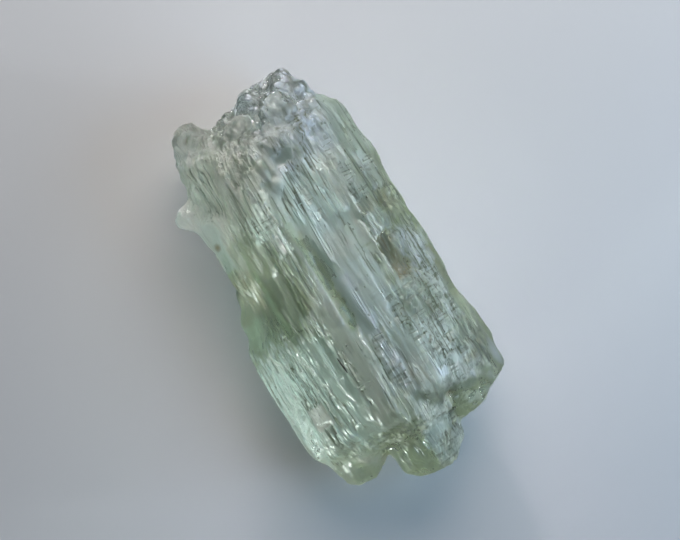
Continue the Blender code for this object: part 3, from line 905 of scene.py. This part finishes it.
# The olive tone also paints shade in hollows, creases and grooves; the mint tone also paints highlights and
# the glow of light leaving the lower side; the lavender tone also paints glints and the bubbles' highlights.
TONES = (
    Tone("deep", (0.35, 0.42, 0.23), (0.45, 0.52, 0.33)),
    Tone("teal", (0.58, 0.73, 0.70), (0.60, 0.74, 0.72)),
    Tone("mint_and_highlight", (0.88, 1.00, 0.95), (0.80, 1.00, 0.92)),
    Tone("lavender_and_glint", (0.82, 0.88, 1.00), (0.78, 0.84, 0.97)),
    Tone("blush", (0.92, 0.86, 0.82), (0.86, 0.82, 0.78)),
    Tone("stain", (0.20, 0.15, 0.06), (0.32, 0.25, 0.13)),
)


@dataclass(frozen=True)
class Layer:
    """One pattern of the finish, and how far it darkens, raises and whitens the surface.

    Heights are shares of BUMP_DEPTH.
    """

    pattern: Value
    dark: float = 0.0
    height: float = 0.0
    white: float = 0.0


class Etching:
    """The finest etching, which the finish draws over the shape."""

    block_size: Triple = (1.1, 0.32, 0.32)
    cloud_size: Triple = (1.5, 0.30, 0.30)
    flake_size: Triple = (0.42, 0.16, 0.16)
    dark_line_size: Triple = (8.0, 0.40, 0.40)
    pale_line_size: Triple = (6.0, 0.34, 0.34)
    tick_size: Triple = (0.36, 4.0, 4.0)

    def __init__(self, graph: Graph) -> None:
        """Adds the patterns to a material, and the masks of the crystal that they follow."""
        self.graph = graph
        self.frost = graph.attribute("frost")
        self.gritty = graph.attribute("gritty")
        self.rough = 1.0 - graph.attribute("calm")
        self.facets = graph.cells(FACET_SIZE)
        self.blocks = graph.cells(self.block_size)
        self.clouds = graph.noise(self.cloud_size, 2.0, 0.6)
        self.flakes = graph.noise(self.flake_size, 2.0, 0.6)
        self.layers = (*self.lines(), *self.broken_surface(), *self.bubbles(), *self.powder())

    def lines(self) -> tuple[Layer, ...]:
        """Long dark and pale lines, and short ticks that cross them."""
        graph = self.graph
        some, others = self.blocks.chance.past(0.35, 8.0), self.blocks.chance.past(0.80, -8.0)
        dark_lines = graph.contours(self.dark_line_size, 9.0) * graph.attribute("scored") * others
        pale_lines = graph.contours(self.pale_line_size, 8.0) * graph.attribute("lined")
        ticks = graph.contours(self.tick_size, 8.0) * graph.attribute("ticked") * some
        return (
            Layer(dark_lines, dark=0.95, height=-1.0),
            Layer(pale_lines, height=1.3, white=0.60),
            Layer(ticks, dark=0.70, height=-1.0),
        )

    def broken_surface(self) -> tuple[Layer, ...]:
        """Tilted blocks and the seams between them, and in gritty places small facets, pits and glints."""
        graph, facets, blocks = self.graph, self.facets, self.blocks
        slopes = {index: graph.attribute(f"towards_{axis}") for index, axis in enumerate("xyz")}
        towards = graph.add("ShaderNodeCombineXYZ", {}, slopes)
        luck = (graph.attribute("pitted") - facets.chance).past(0.0, 20.0)
        return (
            Layer(blocks.chance * self.rough, height=0.6),
            Layer(blocks.chance.past(0.30, -1.0) * self.rough, dark=1.0),
            Layer(blocks.chance.past(0.70, 2.0) * self.rough, white=0.4),
            Layer(blocks.away.past(0.50, 6.0) * self.rough, dark=0.18, height=-0.4),
            Layer(graph.tilted(blocks, 1.0, (0.0, 0.0, 0.0)) * self.rough, height=2.0),
            Layer(graph.tilted(facets, 0.3, towards) * self.gritty, height=FACET_RISE / BUMP_DEPTH),
            Layer(facets.away.past(0.40, -6.0) * luck, dark=0.7, height=-1.0),
            # Painted glints: random cells of gritty places whitened with the frosted shader.
            Layer(facets.chance.past(0.80, 12.0) * self.gritty, white=0.6),
        )

    def bubbles(self) -> tuple[Layer, ...]:
        """The crust's bubbles, with painted shade in dark rims between them and painted highlights on pale
        tops that small flakes break up.
        """
        dome, bubbly = self.graph.attribute("dome"), self.graph.attribute("bubbly")
        return (
            Layer(dome * bubbly, height=1.5),
            # Painted shade: the rims between bubbles are darkened.
            Layer((dome + self.clouds * 0.30).past(0.90, -7.0) * bubbly, dark=0.50, white=-0.3),
            # Painted highlights: the bubbles' tops are whitened.
            Layer((dome + self.flakes * 0.34).past(1.00, 8.0) * bubbly, white=0.60),
        )

    def powder(self) -> tuple[Layer, ...]:
        """Cloudy and flaky unevenness, the frost's powder and the haze."""
        powder = self.clouds + (self.flakes - self.clouds) * self.gritty + (self.blocks.chance - 0.5) * 0.20
        return (
            Layer(self.clouds, height=0.5),
            Layer(self.clouds.past(0.42, -1.0), dark=1.0),
            Layer(self.flakes * self.gritty, height=1.5),
            Layer((powder + self.frost * 0.46).past(0.74, 8.0), white=0.24),
            Layer(self.graph.attribute("haze"), white=0.45),
        )

    def total(self, effect: str) -> Value:
        """The sum of one effect over all the layers."""
        parts = [layer.pattern * getattr(layer, effect) for layer in self.layers if getattr(layer, effect)]
        return sum(parts[1:], parts[0])

    def normal(self) -> Value:
        """The surface's direction, tilted by the layers' heights."""
        sockets = {"Strength": 1.0, "Distance": BUMP_DEPTH * MM, "Height": self.total("height")}
        return self.graph.add("ShaderNodeBump", {}, sockets)


@dataclass(frozen=True)
class BerylFinish:
    """Clear pale green beryl: plain transmission, with frosted, stained and bluish places on its surface."""

    refraction: float = 1.577
    clear_roughness: float = 0.27
    frost_roughness: float = 0.20
    frosted_roughness: float = 0.5
    frosted_transmission: float = 0.60
    clear: Colour = (0.97, 0.99, 0.95)
    frosted: Colour = (0.82, 0.88, 0.82)
    shadow: Colour = (0.10, 0.12, 0.07)
    absorbed: Colour = (0.64, 0.83, 0.52)
    absorption_per_metre: float = 26.0

    def toned(self, graph: Graph, start: Colour, tones: list[Colour], shade: Value) -> Value:
        """A colour that each tone's mask pulls towards that tone, in turn, and that the shade darkens."""
        colour: Any = opaque(start)
        for tone, towards in zip(TONES, tones):
            colour = graph.mix(graph.attribute(tone.mask), colour, opaque(towards))
        return graph.mix(shade, colour, opaque(self.shadow))

    def build(self) -> bpy.types.Material:
        """The material."""
        graph = Graph("clear_beryl")
        etching = Etching(graph)
        # The shade is partly painted shade, in the grooves of lines, ticks, pits and seams and in the
        # bubbles' rims, and partly darker clouds and blocks at random.
        shade = etching.total("dark").clipped()
        whitened = etching.total("white").clipped()
        shared = {"IOR": self.refraction, "Normal": etching.normal()}
        clear = {
            "Base Color": self.toned(graph, self.clear, [tone.clear for tone in TONES], shade),
            "Roughness": (etching.frost * self.frost_roughness + self.clear_roughness).clipped(),
            "Transmission Weight": 1.0,
        }
        frosted = {
            "Base Color": self.toned(graph, self.frosted, [tone.frosted for tone in TONES], shade),
            "Roughness": self.frosted_roughness,
            "Transmission Weight": self.frosted_transmission,
        }
        shaders = {0: whitened, 1: graph.principled(clear | shared), 2: graph.principled(frosted | shared)}
        surface = graph.add("ShaderNodeMixShader", {}, shaders)
        absorption = {"Color": opaque(self.absorbed), "Density": self.absorption_per_metre}
        volume = graph.add("ShaderNodeVolumeAbsorption", {}, absorption)
        return graph.finish(surface, volume)


def crystal_box() -> tuple[Array, Array]:
    """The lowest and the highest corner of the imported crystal, in millimetres."""
    low, high = (np.array(corner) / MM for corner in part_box(CRYSTAL_NODE))
    return low, high


def softened(points: Array, passes: int) -> Array:
    """Moves each point halfway to the mean of its four neighbours on the grid, this many times."""
    for _ in range(passes):
        around = (np.roll(points, 1, axis=1) + np.roll(points, -1, axis=1)) / 2
        along = points.copy()
        along[1:-1] = (points[:-2] + points[2:]) / 2
        points = points / 2 + (around + along) / 4
    return points


class SkinMasks:
    """What the finish reads at each point of the crystal: numbers from 0 to 1, and the facets' slopes."""

    def __init__(self, skin: SkinPoints, relief: Array) -> None:
        """Works out what several masks share.

        Args:
            skin: The softened grid.
            relief: How far each point stands out, in millimetres.
        """
        self.skin = skin
        self.calm = skin.share("calm")
        self.crest = relief - softened(relief[..., None], 6)[..., 0]
        self.cloud = skin.clouds(81, 2.6, 1.2)
        self.mottle = skin.mottle + (1.0 - skin.mottle) * self.calm
        self.crust = skin.crust()
        self.bubbles = BUBBLES.level(skin)
        self.bubbly = self.crust * smooth_step(skin.front("calm"), 1.3, 0.9)
        self.bubble_highlights = self.bubbly * smooth_step(self.bubbles, 0.80, 0.92)
        self.frost = self.frosted()

    def frosted(self) -> Array:
        """How frosted each point is: crests and the hidden side more, calm places and the crust less."""
        clouds = 0.25 * smooth_step(self.cloud, 0.4, 0.75) * (1.0 - 0.7 * self.calm)
        general = 0.22 + clouds - 0.2 * self.calm + self.crest * (3.5 - 3.0 * self.crust) - 0.2 * self.crust
        return clipped(general + self.skin.front("frost") * self.mottle + 0.15 * (1.0 - self.skin.upper))

    def tones(self) -> dict[str, Array]:
        """The colours' masks, with painted olive shade in the bubbles' hollows and in creases, and painted
        lavender highlights on the bubbles' tops.
        """
        masks = {tone.mask: clipped(self.skin.front(tone.mask) * self.mottle) for tone in TONES}
        # Painted shade: the hollows between bubbles, and creases where the relief sinks, turn darker olive.
        hollows = 0.4 * self.bubbly * smooth_step(self.bubbles, 0.72, 0.50) - 2.0 * self.crest
        masks["deep"] = clipped(masks["deep"] + 0.15 * smooth_step(self.cloud, 0.55, 0.3) + hollows)
        masks["lavender_and_glint"] = clipped(masks["lavender_and_glint"] + 0.5 * self.bubble_highlights)
        return masks

    def textures(self) -> dict[str, Array]:
        """Where the surface is calm, gritty, hazy and covered in bubbles."""
        skin = self.skin
        whole = smooth_step(self.cloud, 0.25, 0.45) * (0.2 + 0.8 * smooth_step(skin.y, -2.6, -0.8))
        # The bubbles' painted highlights also whiten them here.
        haze = skin.front("haze") * (0.6 + 0.4 * skin.mottle) + 0.2 * self.bubble_highlights
        return {
            "calm": self.calm,
            "frost": self.frost,
            "gritty": clipped(skin.front("grit") + 0.5 * skin.end_on),
            "haze": np.clip(haze, 0.0, 0.8),
            "dome": self.bubbles,
            "bubbly": self.bubbly * whole,
        }

    def lines(self) -> dict[str, Array]:
        """Where dark lines, pale lines, ticks and pits stand together."""
        marks = clipped(0.2 + self.skin.front("marks") - 0.4 * self.calm)
        crossed = self.skin.share("cross") * (1.0 - self.calm)
        sides = 1.0 - self.skin.end_on
        scored = 0.45 * (1.0 - self.calm) + 0.60 * marks
        lined = 0.55 * (1.0 - self.calm) + 0.5 * self.frost
        return {
            "scored": self.grouped(82, 2.2, 0.9, scored) * sides,
            "lined": self.grouped(83, 1.8, 0.8, lined) * sides,
            "ticked": self.grouped(84, 1.0, 0.6, 0.58 * crossed + 0.45 * marks),
            "pitted": 0.22 * marks,
        }

    def grouped(self, seed: int, length: float, width: float, share: Array) -> Array:
        """Clouds of this length and width that cover this share of the surface, with soft borders."""
        return clipped((self.skin.clouds(seed, length, width) - 0.85 + 0.75 * share) * 5.0)

    def slopes(self) -> dict[str, Array]:
        """The facets' slopes along each axis."""
        slopes = np.moveaxis(self.skin.facet_slopes(), -1, 0)
        return {f"towards_{axis}": slope for axis, slope in zip("xyz", slopes)}

    def store(self, mesh: bpy.types.Mesh) -> None:
        """Keeps each mask as an attribute of the mesh's points, with 0 at the two poles."""
        for name, values in (self.tones() | self.textures() | self.lines() | self.slopes()).items():
            layer = mesh.attributes.new(name, "FLOAT", "POINT")
            layer.data.foreach_set("value", np.append(values.ravel(), [0.0, 0.0]).astype(np.float32))


@dataclass
class CrystalSkin:
    """The crystal's surface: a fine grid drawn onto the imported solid, then etched in patterns.

    The softenings are passes over the grid, and heights and depths are in millimetres.
    """

    sheath: Sheath = field(default_factory=Sheath)
    softening: int = 5
    normal_softening: int = 14
    lines: tuple[Steps, ...] = (Steps(21, 2.6, 0.19, 0.09), Steps(22, 1.1, 0.12, 0.06))
    swell_height: float = 0.06
    plates: tuple[Steps, ...] = (Steps(31, 3.4, 0.95, 0.13), Steps(32, 1.4, 0.42, 0.08))
    crossing: tuple[Steps, ...] = (Steps(35, 0.85, 0.7, 0.13), Steps(36, 0.34, 0.30, 0.10))
    slivers: Steps = Steps(37, 0.9, 0.17, 0.07)
    column_ends: tuple[Steps, ...] = (Steps(41, 1.1, 0.9, 0.24), Steps(42, 0.45, 0.4, 0.12))
    lumps: Lumps = Lumps(51, 1.25, 1.05, 0.34, sunk=0.4)
    bubble_height: float = 0.36
    grit: Lumps = Lumps(61, 0.50, 0.30, 0.08, sunk=0.5)
    chips: Steps = Steps(62, 0.30, 0.20, 0.05)
    shells: Lumps = Lumps(63, 1.5, 1.1, 0.26, sunk=0.5)
    dents: Lumps = Lumps(64, 0.7, 0.6, 0.10, sunk=0.5)
    rib_height: float = 0.18
    groove_depth: float = 0.36

    def build(self) -> bpy.types.Object:
        """Draws the grid onto the solid, etches it and dresses it."""
        points, poles, girth = self.draw_onto_solid()
        points = softened(points, self.softening)
        skin = SkinPoints(points, self.normals_of(softened(points, self.normal_softening)), girth)
        relief = self.relief(skin)
        etched = points + skin.normals * relief[..., None]
        low, high = crystal_box()
        etched = np.clip(etched, low, high)
        mesh = GridMesh.build("clear_crystal", etched * MM, np.clip(poles, low, high) * MM)
        SkinMasks(skin, relief).store(mesh)
        mesh.materials.append(BerylFinish().build())
        return as_piece(place_in_scene("clear_crystal", mesh))

    def draw_onto_solid(self) -> tuple[Array, Array, Array]:
        """Projects the sheath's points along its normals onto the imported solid.

        Returns:
            The rings (rings x columns x 3), the two poles, and each column's girth, in millimetres.
        """
        low, high = crystal_box()
        middle = (low + high) / 2
        half = (high - low) / 2 + self.sheath.clearance
        section, girth = self.sheath.round_profile(half[1], half[2])
        x, share = self.sheath.long_profile(half[0])
        rings = np.empty((len(x), len(section), 3))
        rings[..., 0] = x[:, None]
        rings[..., 1:] = section[None] * share[:, None, None]
        rings += middle
        poles = np.array([[-half[0], 0.0, 0.0], [half[0], 0.0, 0.0]]) + middle

        solid = self.merged_solid()
        cover = place_in_scene("sheath", GridMesh.build("sheath", rings * MM, poles * MM))
        draw = cover.modifiers.new("draw_in", "SHRINKWRAP")
        draw.wrap_method = "PROJECT"
        draw.use_negative_direction = True
        draw.use_positive_direction = False
        draw.target = solid
        bpy.context.view_layer.update()
        drawn = cover.evaluated_get(bpy.context.evaluated_depsgraph_get())
        flat = np.empty(len(drawn.data.vertices) * 3, np.float32)
        drawn.data.vertices.foreach_get("co", flat)
        flat = flat.reshape(-1, 3).astype(float) / MM
        for helper in (cover, solid):
            bpy.data.objects.remove(helper)
        return flat[:-2].reshape(rings.shape), flat[-2:], np.broadcast_to(girth, rings.shape[:2])

    @staticmethod
    def merged_solid() -> bpy.types.Object:
        """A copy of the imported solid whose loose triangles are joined."""
        shape = bmesh.new()
        shape.from_mesh(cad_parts[CRYSTAL_NODE].data)
        bmesh.ops.remove_doubles(shape, verts=shape.verts, dist=1e-7)
        mesh = bpy.data.meshes.new("merged_solid")
        shape.to_mesh(mesh)
        shape.free()
        return place_in_scene("merged_solid", mesh)

    @staticmethod
    def normals_of(points: Array) -> Array:
        """Unit normals: the cross product of the grid's two directions at each point."""
        around = np.roll(points, -1, axis=1) - np.roll(points, 1, axis=1)
        along = np.gradient(points, axis=0)
        normal = np.cross(around, along)
        return normal / np.maximum(np.linalg.norm(normal, axis=-1, keepdims=True), 1e-9)

    def relief(self, skin: SkinPoints) -> Array:
        """How far each point stands out of the softened solid, in millimetres, as a sum of patterns."""
        calm = skin.share("calm")
        general = self.striations(skin) + self.stepped_plates(skin)
        return (
            general * (1.0 - 0.85 * calm)
            + self.end_terraces(skin) * (1.0 - 0.5 * calm)
            + self.rough_places(skin)
            + self.spine(skin)
            + skin.front("height")
        )

    def striations(self, skin: SkinPoints) -> Array:
        """Growth lines along X: long thin steps, and smooth noise n folded to sharp crests, 1 - |2n - 1|."""
        crests = 1.0 - np.abs(2.0 * skin.clouds(23, 14.0, 0.55) - 1.0)
        lines = levels(self.lines, skin.x, skin.around)
        return (lines + self.swell_height * (crests - 0.5)) * (1.0 - skin.end_on)

    def stepped_plates(self, skin: SkinPoints) -> Array:
        """Shallow rectangular steps along the crystal, with shorter ones where lines cross."""
        bold = 0.45 + 0.55 * smooth_step(skin.clouds(34, 4.0, 2.0), 0.35, 0.7)
        plates = levels(self.plates, skin.x, skin.around) * bold
        crossed = levels(self.crossing, skin.x, skin.around) + self.slivers.level(skin.around, skin.x)
        return (plates + crossed * clipped(skin.front("cross") + 0.15)) * (1.0 - skin.end_on)

    def end_terraces(self, skin: SkinPoints) -> Array:
        """Stepped column ends: random levels over small cells of the cross-section."""
        return levels(self.column_ends, skin.y, skin.z) * skin.end_on

    def rough_places(self, skin: SkinPoints) -> Array:
        """The crust's lumps and bubbles, grit, and shell-shaped hollows, where the markings ask for them."""
        crust = self.lumps.level(skin) + self.bubble_height * (BUBBLES.level(skin) - 0.4)
        grit = self.grit.level(skin) + self.chips.level(skin.x, skin.y)
        hollows = self.shells.level(skin) + self.dents.level(skin)
        faceted = clipped(skin.front("facets") + 0.4 * skin.end_on)
        return skin.crust() * crust + skin.share("grit") * grit - faceted * hollows

    def spine(self, skin: SkinPoints) -> Array:
        """The long rib and the smooth groove above it, which close to the right.

        Across the crystal the groove is e^-d^2 and the rib, which is flatter on top, e^-d^4.
        """
        groove = np.exp(-(((skin.y - 0.1) / (0.62 - 0.03 * skin.x)) ** 2)) * between(skin.x, -7.4, 4.0, 3.0)
        rib = np.exp(-(((skin.y + 1.3) / 0.75) ** 4)) * between(skin.x, -8.2, 10.0, 1.6)
        return skin.upper * (self.rib_height * rib - self.groove_depth * groove)


@dataclass(frozen=True)
class DarkMineral:
    """Black opaque mineral, as a needle and a speck have it."""

    colour: Colour = (0.012, 0.012, 0.010)
    roughness: float = 0.45

    def build(self) -> bpy.types.Material:
        """The material."""
        graph = Graph("dark_mineral")
        sockets = {"Base Color": opaque(self.colour), "Roughness": self.roughness}
        return graph.finish(graph.principled(sockets))


def surface_height(crystal: bpy.types.Object, x: float, y: float) -> float:
    """How high the crystal is at (x, y) in millimetres, by a ray cast down from well above it."""
    overhead = 40.0
    hit, place, _, _ = crystal.ray_cast(Vector((x, y, overhead)) * MM, Vector((0.0, 0.0, -1.0)))
    return place.z / MM if hit else 0.0


@dataclass(frozen=True)
class Spindle:
    """A slim inclusion, thickest in its middle, from one (x, y) to another in millimetres."""

    name: str
    start: tuple[float, float]
    end: tuple[float, float]
    thickness: float
    sink: float = 0.02
    rings: int = 15
    columns: int = 12

    def build(self, crystal: bpy.types.Object, material: bpy.types.Material) -> bpy.types.Object:
        """Adds the spindle, whose radius is a half-ellipse along its length.

        Args:
            crystal: What it is half sunk in.
            material: What the spindle is made of.

        Returns:
            The spindle.
        """
        ends = (self.start, self.end)
        start, end = (np.array([*place, surface_height(crystal, *place) - self.sink]) for place in ends)
        share = ((1.0 - np.cos(np.linspace(0.0, math.pi, self.rings + 2))) / 2)[1:-1]
        axis = (end - start) / np.linalg.norm(end - start)
        side = np.cross(axis, (0.0, 0.0, 1.0))
        side /= np.linalg.norm(side)
        top = np.cross(side, axis)
        turn = np.linspace(0.0, 2.0 * math.pi, self.columns, endpoint=False)
        radius = self.thickness * np.sqrt(share * (1.0 - share))
        ring = np.cos(turn)[:, None] * side - np.sin(turn)[:, None] * top
        rings = start + share[:, None, None] * (end - start) + radius[:, None, None] * ring
        mesh = GridMesh.build(self.name, rings * MM, np.stack([start, end]) * MM)
        mesh.materials.append(material)
        return as_piece(place_in_scene(self.name, mesh))


class Stand(Enum):
    """Where a studio light stands: its x, y and height in millimetres."""

    TOP = (-74.0, 52.0, 78.0)
    RIGHT = (50.0, 82.0, 72.0)
    LOW_LEFT = (42.0, -104.0, 30.0)
    LOW_RIGHT = (56.0, 98.0, 30.0)
    LOW_TOP = (-104.0, 30.0, 32.0)
    LOW_FRONT = (30.0, -108.0, 14.0)


@dataclass(frozen=True)
class StudioLight:
    """A soft lamp aimed at the crystal, or a little above it to keep its light off the near floor.

    Its power is in watts, its width in metres, its aim in millimetres and its spread in degrees.
    """

    stand: Stand
    power: float
    width: float
    colour: Colour
    aim_height: float = 0.0
    spread: float = 180.0

    def build(self) -> None:
        """Adds the lamp, which the camera doesn't see."""
        lamp = bpy.data.lights.new(f"lamp_{self.stand.name.lower()}", "AREA")
        lamp.shape = "DISK"
        lamp.size = self.width
        lamp.energy = self.power
        lamp.color = self.colour
        lamp.spread = math.radians(self.spread)
        holder = bpy.data.objects.new(lamp.name, lamp)
        bpy.context.scene.collection.objects.link(holder)
        holder.location = Vector(self.stand.value) * MM
        aim = Vector((0.0, 0.0, self.aim_height * MM)) - holder.location
        holder.rotation_euler = aim.to_track_quat("-Z", "Y").to_euler()
        holder.visible_camera = False


@dataclass(frozen=True)
class Studio:
    """The plain pale floor, the soft light and the camera that looks down on the crystal.

    Lengths are in metres, apart from the paper's grain and the camera's sensor, which are in millimetres.
    """

    floor_side: float = 1.6
    floor_gap: float = 0.00002
    floor_colour: Colour = (0.52, 0.52, 0.525)
    floor_roughness: float = 0.7
    paper_grain: float = 9.0
    paper_contrast: float = 1.03
    sky: Colour = (0.80, 0.92, 1.0)
    sky_strength: float = 0.14
    photo_width: int = 680
    pixels_per_mm: float = 14.0
    distance: float = 0.170
    sensor: float = 36.0
    nearest: float = 0.005
    looks_at: Triple = (-0.00070, 0.00096, 0.0055)
    right: Triple = (0.5195, 0.8545, 0.0)
    up: Triple = (-0.8545, 0.5195, 0.0)
    lamps: tuple[StudioLight, ...] = (
        StudioLight(Stand.TOP, 0.138, 0.110, (1.0, 0.93, 0.88)),
        StudioLight(Stand.RIGHT, 0.082, 0.090, (0.42, 0.70, 1.0)),
        StudioLight(Stand.LOW_LEFT, 0.0036, 0.030, (0.88, 1.0, 0.94), aim_height=16.0, spread=16.0),
        StudioLight(Stand.LOW_RIGHT, 0.0034, 0.030, (0.80, 0.90, 1.0), aim_height=16.0, spread=16.0),
        StudioLight(Stand.LOW_TOP, 0.0038, 0.030, (1.0, 0.97, 1.0), aim_height=16.0, spread=16.0),
        StudioLight(Stand.LOW_FRONT, 0.00019, 0.018, (0.86, 1.0, 0.95), aim_height=9.0, spread=7.0),
    )

    def build(self) -> None:
        """Adds the floor, the light and the camera."""
        self.add_floor()
        self.add_sky()
        for lamp in self.lamps:
            lamp.build()
        self.add_camera()

    def add_floor(self) -> None:
        """A flat pale sheet just under the crystal."""
        half = self.floor_side / 2
        mesh = bpy.data.meshes.new("floor")
        square = ((-half, -half), (half, -half), (half, half), (-half, half))
        mesh.from_pydata([(x, y, -self.floor_gap) for x, y in square], [], [(0, 1, 2, 3)])
        graph = Graph("pale_floor")
        paper = graph.noise((self.paper_grain,) * 3, 3.0)
        lighter = tuple(channel * self.paper_contrast for channel in self.floor_colour)
        colour = graph.mix(paper, opaque(self.floor_colour), opaque(lighter))
        surface = graph.principled({"Base Color": colour, "Roughness": self.floor_roughness})
        mesh.materials.append(graph.finish(surface))
        place_in_scene("floor", mesh)

    def add_sky(self) -> None:
        """An even pale light from all round."""
        world = bpy.data.worlds.new("soft_sky")
        world.use_nodes = True
        glow = world.node_tree.nodes["Background"]
        glow.inputs["Color"].default_value = opaque(self.sky)
        glow.inputs["Strength"].default_value = self.sky_strength
        bpy.context.scene.world = world

    def add_camera(self) -> None:
        """A camera straight above, turned so that the crystal slants as in the photograph."""
        view = bpy.data.cameras.new("camera")
        view.sensor_width = self.sensor
        seen = self.photo_width / self.pixels_per_mm * MM
        view.lens = self.sensor * self.distance / seen
        view.clip_start = self.nearest
        camera = bpy.data.objects.new("camera", view)
        bpy.context.scene.collection.objects.link(camera)
        turn = Matrix((self.right, self.up, (0.0, 0.0, 1.0))).transposed().to_4x4()
        above = Vector(self.looks_at) + Vector((0.0, 0.0, self.distance))
        camera.matrix_world = Matrix.Translation(above) @ turn
        bpy.context.scene.camera = camera
        bpy.context.scene.view_settings.view_transform = "Standard"


def main() -> None:
    """Builds the crystal and its set, in order."""
    logging.basicConfig(level=logging.INFO, format="%(name)s %(message)s")
    crystal = CrystalSkin().build()
    dark = DarkMineral().build()
    Spindle("needle", (4.35, -2.40), (5.70, -2.29), 0.12).build(crystal, dark)
    Spindle("speck", (3.94, -1.37), (4.08, -1.37), 0.14).build(crystal, dark)
    Studio().build()


if __name__ == "__main__":
    main()
